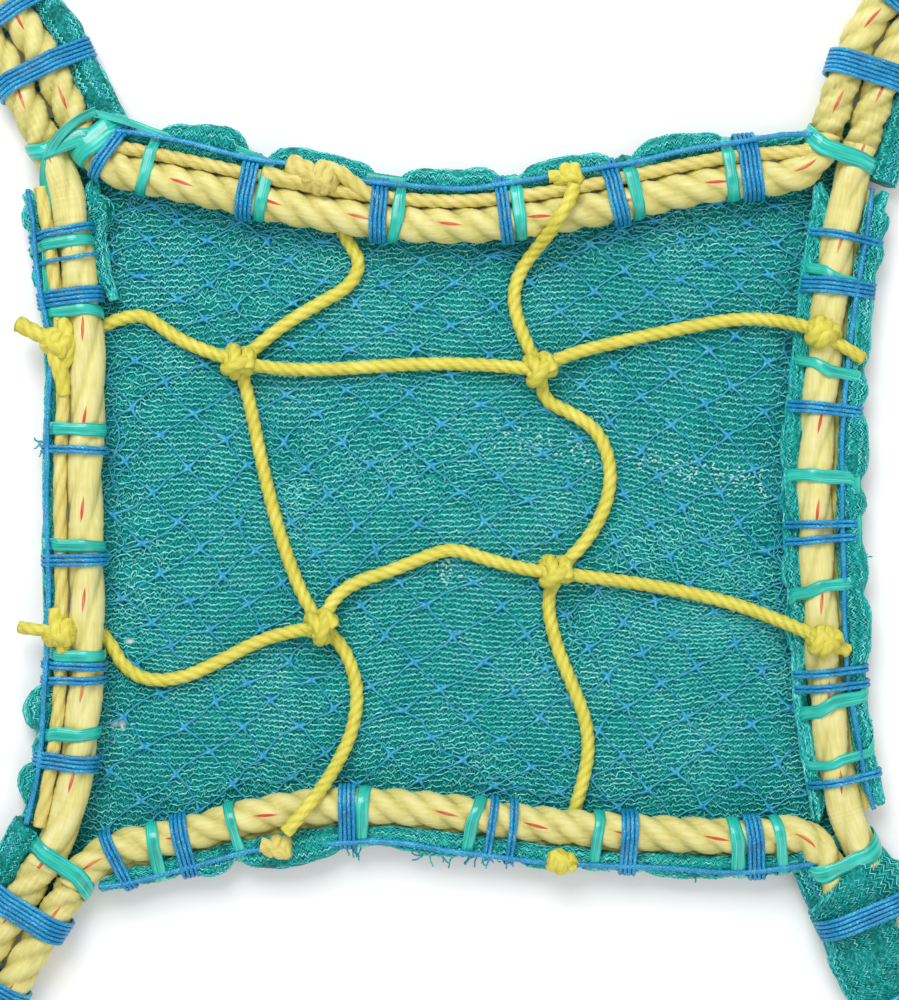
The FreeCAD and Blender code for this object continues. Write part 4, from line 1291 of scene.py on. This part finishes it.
# %% Yarn rows
def warped(x, y):
    """The knit's own drift: rows sag down to the right in the right half, and waver everywhere."""
    rise = min(max((x / MM - 12) / 105, 0.0), 1.0)
    drop = 13.0 * rise * rise * (3 - 2 * rise) * math.exp(-(((y / MM) - 8) / 48) ** 2)
    waver = (0.9 * math.sin(x / MM / 19 + y / MM / 14) + 0.5 * math.sin(x / MM / 8 - y / MM / 23)
             + 3.0 * noise.noise(Vector((x * 22, y * 22, 1.5))))
    lean = 2.2 * math.sin(y / MM / 26 + x / MM / 60)
    return x + lean * MM * 0.4, y + (waver - drop) * MM


def broken(line_points, reach=0.0052):
    """Split a row where it leaves the nets or meets a hole."""
    runs, run = [], []
    for point in line_points:
        if inside(point.x, point.y, reach) and not torn(point.x, point.y):
            run.append(point)
        elif run:
            runs.append(run)
            run = []
    runs.append(run)
    return [r for r in runs if len(r) > 3]


random.seed(31)
ROWS = range(-66, 72)
BANDS = 6
half_stitch = STITCH / 2
columns = range(-157, 158)
bands = {n: ([], []) for n in range(BANDS)}
for row in ROWS:
    band = bands[min(BANDS - 1, (row - ROWS[0]) * BANDS // len(ROWS))]
    pale, zigzag = [], []
    for column in columns:
        x = column * half_stitch
        base = Vector((*warped(x, row * ROW_PITCH), 0))
        upset = 0.17 + 0.6 * max(0.0, noise.noise(base * 32 + Vector((7, 0, 0))))
        if not inside(base.x, base.y, -0.019):
            upset += 0.2
        slide = 0.35 * noise.noise(Vector((column * 0.21, row * 0.9, 4)))
        odd = column % 2
        pale.append(base + Vector((random.gauss(0, upset), (0.34 if odd else -0.3) + slide
                                   + random.gauss(0, upset),
                                   0.98 + (0.2 if odd else -0.05) + random.uniform(-0.15, 0.2))) * MM)
        above = Vector((*warped(x, (row + (0.95 if odd else 0.05)) * ROW_PITCH), 0))
        zigzag.append(above + Vector(((0.45 if odd else 0.0) + random.gauss(0, upset),
                                      slide + random.gauss(0, upset), 0.74 if odd else 0.5)) * MM)
    band[0].extend(broken(pale))
    band[1].extend(broken(zigzag))
for number, (pale, zigzag) in bands.items():
    for kind, lines, shape, finish in (("rows", pale, YARN, lit_flat_yarn),
                                       ("zigzags", zigzag, FINE, shaded_edge_yarn)):
        mesh = close_up(sweep(f"debris_net_{kind}_{number + 1}", lines, shape))
        shown = piece(f"debris_net_{kind}_{number + 1}", mesh, finish)
        on_panel(shown)

# %% Stitches painted near white as glints, where the knit shines: each band's ends and number
GLINTS = [((15, 27), (30, 20), 26), ((30, 20), (52, 17), 34), ((62, 18), (84, 13), 44),
          ((84, 13), (106, 6), 52), ((-3, -20), (3, -21), 26)]
random.seed(37)
glints = []
for start, end, count in GLINTS:
    for _ in range(count):
        spot = Vector(start).lerp(Vector(end), random.random())
        spot += Vector((random.gauss(0, 3.0), random.gauss(0, 2.6)))
        heading = random.uniform(-0.5, 0.5) + (1.2 if random.random() < 0.3 else 0.0)
        step = Vector((math.cos(heading), math.sin(heading))) * random.uniform(0.35, 0.7)
        glints.append([Vector((*(spot + step * k + Vector((0, 0.2 * (k % 2)))), 1.35)) * MM
                       for k in range(3)])
# A near white finish as painted glints on the stitches.
glint_finish = yarn_finish("slit polyethylene tape, painted glint", [(0.0, "7CD8D6"), (1.0, "E4FAF8")], 0.25)
mesh = close_up(sweep("debris_net_painted_glint_stitches", glints, FINE))
on_panel(piece("debris_net_painted_glint_stitches", mesh, glint_finish))

# %% [markdown]
# ## Fishing net
# The blue net has diamond meshes of fine twisted twine, tied in small hard knots. Nothing holds it
# flat, so its lattice drifts: it is a regular lattice of two directions, moved by a smooth field,
# and each bar between two knots bows a little. Bars thicken into their knots.

# %% The lattice and its drift
BAR_A, BAR_B = Vector((12.0, 7.6)), Vector((9.3, -9.6))


def drifted(i, j):
    """The place of one knot, in metres."""
    p = BAR_A * i + BAR_B * j
    x, y = p
    rear = max(0.0, y - 35)
    y -= 0.0020 * rear * rear
    x += 5.0 * math.sin(y / 34 + 0.8) + 2.2 * math.sin(x / 21)
    y += 3.4 * math.sin(x / 38 + 1.1) + 1.6 * math.cos(y / 17 + x / 40)
    return Vector((x, y)) * MM


random.seed(43)
net_knots, bars, bar_radii = {}, [], []
for i in range(-18, 19):
    for j in range(-18, 19):
        spot = drifted(i, j)
        spot += Vector((random.uniform(-1.5, 1.5), random.uniform(-1.5, 1.5))) * MM
        if inside(spot.x, spot.y, 0.004):
            net_knots[i, j] = Vector((*spot, 0.0016))
for (i, j), start in net_knots.items():
    for step in ((1, 0), (0, 1)):
        end = net_knots.get((i + step[0], j + step[1]))
        if end is None:
            continue
        across = (end - start).cross(UP).normalized()
        bow, ripple = random.uniform(-1.6, 1.6) * MM, random.uniform(-0.5, 0.5) * MM
        steps = 9
        bar = []
        for k in range(steps + 1):
            t = k / steps
            bar.append(start.lerp(end, t) + across * (bow * math.sin(math.pi * t)
                       + ripple * math.sin(3 * math.pi * t)) + UP * (0.1 * MM * math.sin(9 * t)))
        bars.append(bar)
        bar_radii.append([3.6 if k in (0, steps) else 1.7 if k in (1, steps - 1) else 0.9
                          for k in range(steps + 1)])
print("net knots:", len(net_knots), "bars:", len(bars))

# %% Loose bights gathered along the border
for side, count in (("rear", 16), ("front", 6), ("left", 9), ("right", 12)):
    axis = axis_of(side)
    for k in range(count):
        at = random.uniform(-105, 100)
        span = random.uniform(14, 40)
        depth = -random.uniform(6.8, 11.5)
        line = []
        for step in range(9):
            place = (at + span * (step / 8 - 0.5)) * MM
            place = min(max(place, -0.108), 0.108)
            out = (depth + 2.0 * math.sin(step * 1.3 + k) + random.uniform(-0.5, 0.5)) * MM
            value = limit(side, place, out)
            spot = (place, value) if axis == 0 else (value, place)
            line.append(Vector((*spot, 0.0019 + 0.0004 * math.sin(step + k))))
        bars.append(line)
        bar_radii.append([random.uniform(0.7, 1.05)] * 9)

# %% Sweep the bars and tie the knots
mesh = close_up(sweep("fishing_net_bars", bars, NET_TWINE, radii=bar_radii, twist="MINIMUM"))
fishing_bars = piece("fishing_net_bars", mesh, net_twine_finish)
on_panel(fishing_bars)
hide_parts("fishing_net_left", "fishing_net_right")
bm = bmesh.new()
for spot in net_knots.values():
    turned = Matrix.Rotation(random.uniform(0, math.pi), 4, "Z")
    made = bmesh.ops.create_icosphere(bm, subdivisions=1, radius=0.00128)
    bmesh.ops.scale(bm, verts=made["verts"], vec=(1.3, 0.95, 0.7))
    bmesh.ops.transform(bm, verts=made["verts"], matrix=Matrix.Translation(spot) @ turned)
knot_mesh = bpy.data.meshes.new("fishing_net_knots")
bm.to_mesh(knot_mesh)
bm.free()
net_knot_finish = yarn_finish("nylon net knot", [(0.0, "0C66B8"), (0.5, "1280D4"), (1.0, "2C98DC")], 0.4)
fishing_knots = piece("fishing_net_knots", close_up(knot_mesh), net_knot_finish)
on_panel(fishing_knots)
on_panel(backing_sheet)
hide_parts("debris_net_left", "debris_net_right")

# %% Frayed ends outside the hems: place and number of each tuft
TUFTS = [(-9, -113.5, 10), (10, -114.5, 16), (17, -114, 10), (78, -118.5, 14), (46, -116, 8),
         (-32, -111, 7), (-135, 88, 7), (-134, 22, 6), (136, -14, 7)]
random.seed(61)
frays = {"blue": [], "green": []}
for x, y, count in TUFTS:
    outward = Vector((0, -1, 0)) if y < -100 else Vector((math.copysign(1, x), 0, 0))
    aside = outward.cross(UP)
    for k in range(count):
        p = Vector((x, y, random.uniform(3, 9))) + aside * random.gauss(0, 3)
        run = (outward + aside * random.gauss(0, 0.6) + UP * random.gauss(0, 0.25)).normalized()
        run_points = []
        for step in range(7):
            run_points.append(Vector((p.x, p.y, max(p.z, 0.5))) * MM)
            run = (run + Vector([random.gauss(0, 0.35) for _ in range(3)])).normalized()
            p = p + run * random.uniform(0.7, 1.3)
        frays["blue" if k % 2 else "green"].append(run_points)
for kind, finish in (("blue", net_twine_finish), ("green", shaded_edge_yarn)):
    mesh = close_up(sweep(f"frayed_ends_{kind}", frays[kind], FINE))
    on_panel(piece(f"frayed_ends_{kind}", mesh, finish))

# %% [markdown]
# ## Running twine and loose tape
# On every side a braided twine runs from lashing to lashing outside the selvedge cord. Long green
# tapes run loose down the outer left and right sides, from one wrap to the next.

# %% Running twine
lines = []
for side in SIDES:
    out, height = {"rear": (12.6, 13.4), "front": (11.5, 12.4), "left": (12.2, 12.6),
                   "right": (8.0, 12.6)}[side]
    line = beside(side, out, height, 60)
    lines.append([p + outward_at(side, line, i) * (0.0016 * noise.noise(p * 40))
                  + UP * (0.0009 * noise.noise(p * 60 + UP)) for i, p in enumerate(line)])
mesh = close_up(sweep("running_twine", lines, BRAID, 0.0035))
on_panel(piece("running_twine", mesh, twine_finish))

# %% Loose tapes
LOOSE = [
    [(-117, 132, 15), (-122, 129.5, 17), (-128, 124.5, 17.6), (-133, 118, 16), (-134.8, 110, 13),
     (-133.6, 98, 12), (-134, 84, 12.4), (-133, 70, 12), (-132.4, 58, 11)],
    [(-118, 131.5, 14), (-108, 129.5, 12.6), (-96, 124.5, 12), (-84, 122.6, 12), (-72, 120.5, 12),
     (-60, 115, 11)],
    [(-57, 115.4, 10), (-40, 113.4, 11), (-24, 110.4, 11), (-10, 108.6, 10), (4, 108.4, 10),
     (16, 108, 11)],
    [(42, 113, 10), (54, 112.4, 11), (66, 115.6, 11), (80, 119.4, 10)],
    [(139.6, 84, 11), (137, 76, 12), (135.8, 60, 12), (135, 40, 11.6), (134.6, 20, 12),
     (135.2, 0, 11.6), (135, -20, 12), (132.4, -30, 12)],
    [(133.2, -30, 11.6), (135.2, -42, 12), (135.2, -54, 11.4), (132, -62, 11)],
    [(134.6, -69.6, 8), (137.6, -70.4, 8.6), (140.2, -69, 8)],
]
lines = [smooth_line([Vector(p) * MM for p in points], 14) for points in LOOSE]
leans = [[1.25 + 0.7 * noise.noise(p * 25) for p in line] for line in lines]
mesh = close_up(sweep("loose_tapes", lines, LOOSE_TAPE, tilts=leans))
on_panel(piece("loose_tapes", mesh, tape_finish))

# %% [markdown]
# ## Floor
# A plain pale floor stands for the table. It isn't part of the object.

# %% Floor
bm = bmesh.new()
bmesh.ops.create_grid(bm, x_segments=1, y_segments=1, size=3.0)
bmesh.ops.translate(bm, verts=bm.verts, vec=(0, 0, -0.0006))
floor_mesh = bpy.data.meshes.new("floor")
bm.to_mesh(floor_mesh)
bm.free()
floor_finish, _, floor_shader = new_finish("matt white card", 0.9)
floor_shader.inputs["Base Color"].default_value = srgb("FAFAFA")
floor_mesh.materials.append(floor_finish)
floor = bpy.data.objects.new("floor", floor_mesh)
bpy.context.scene.collection.objects.link(floor)
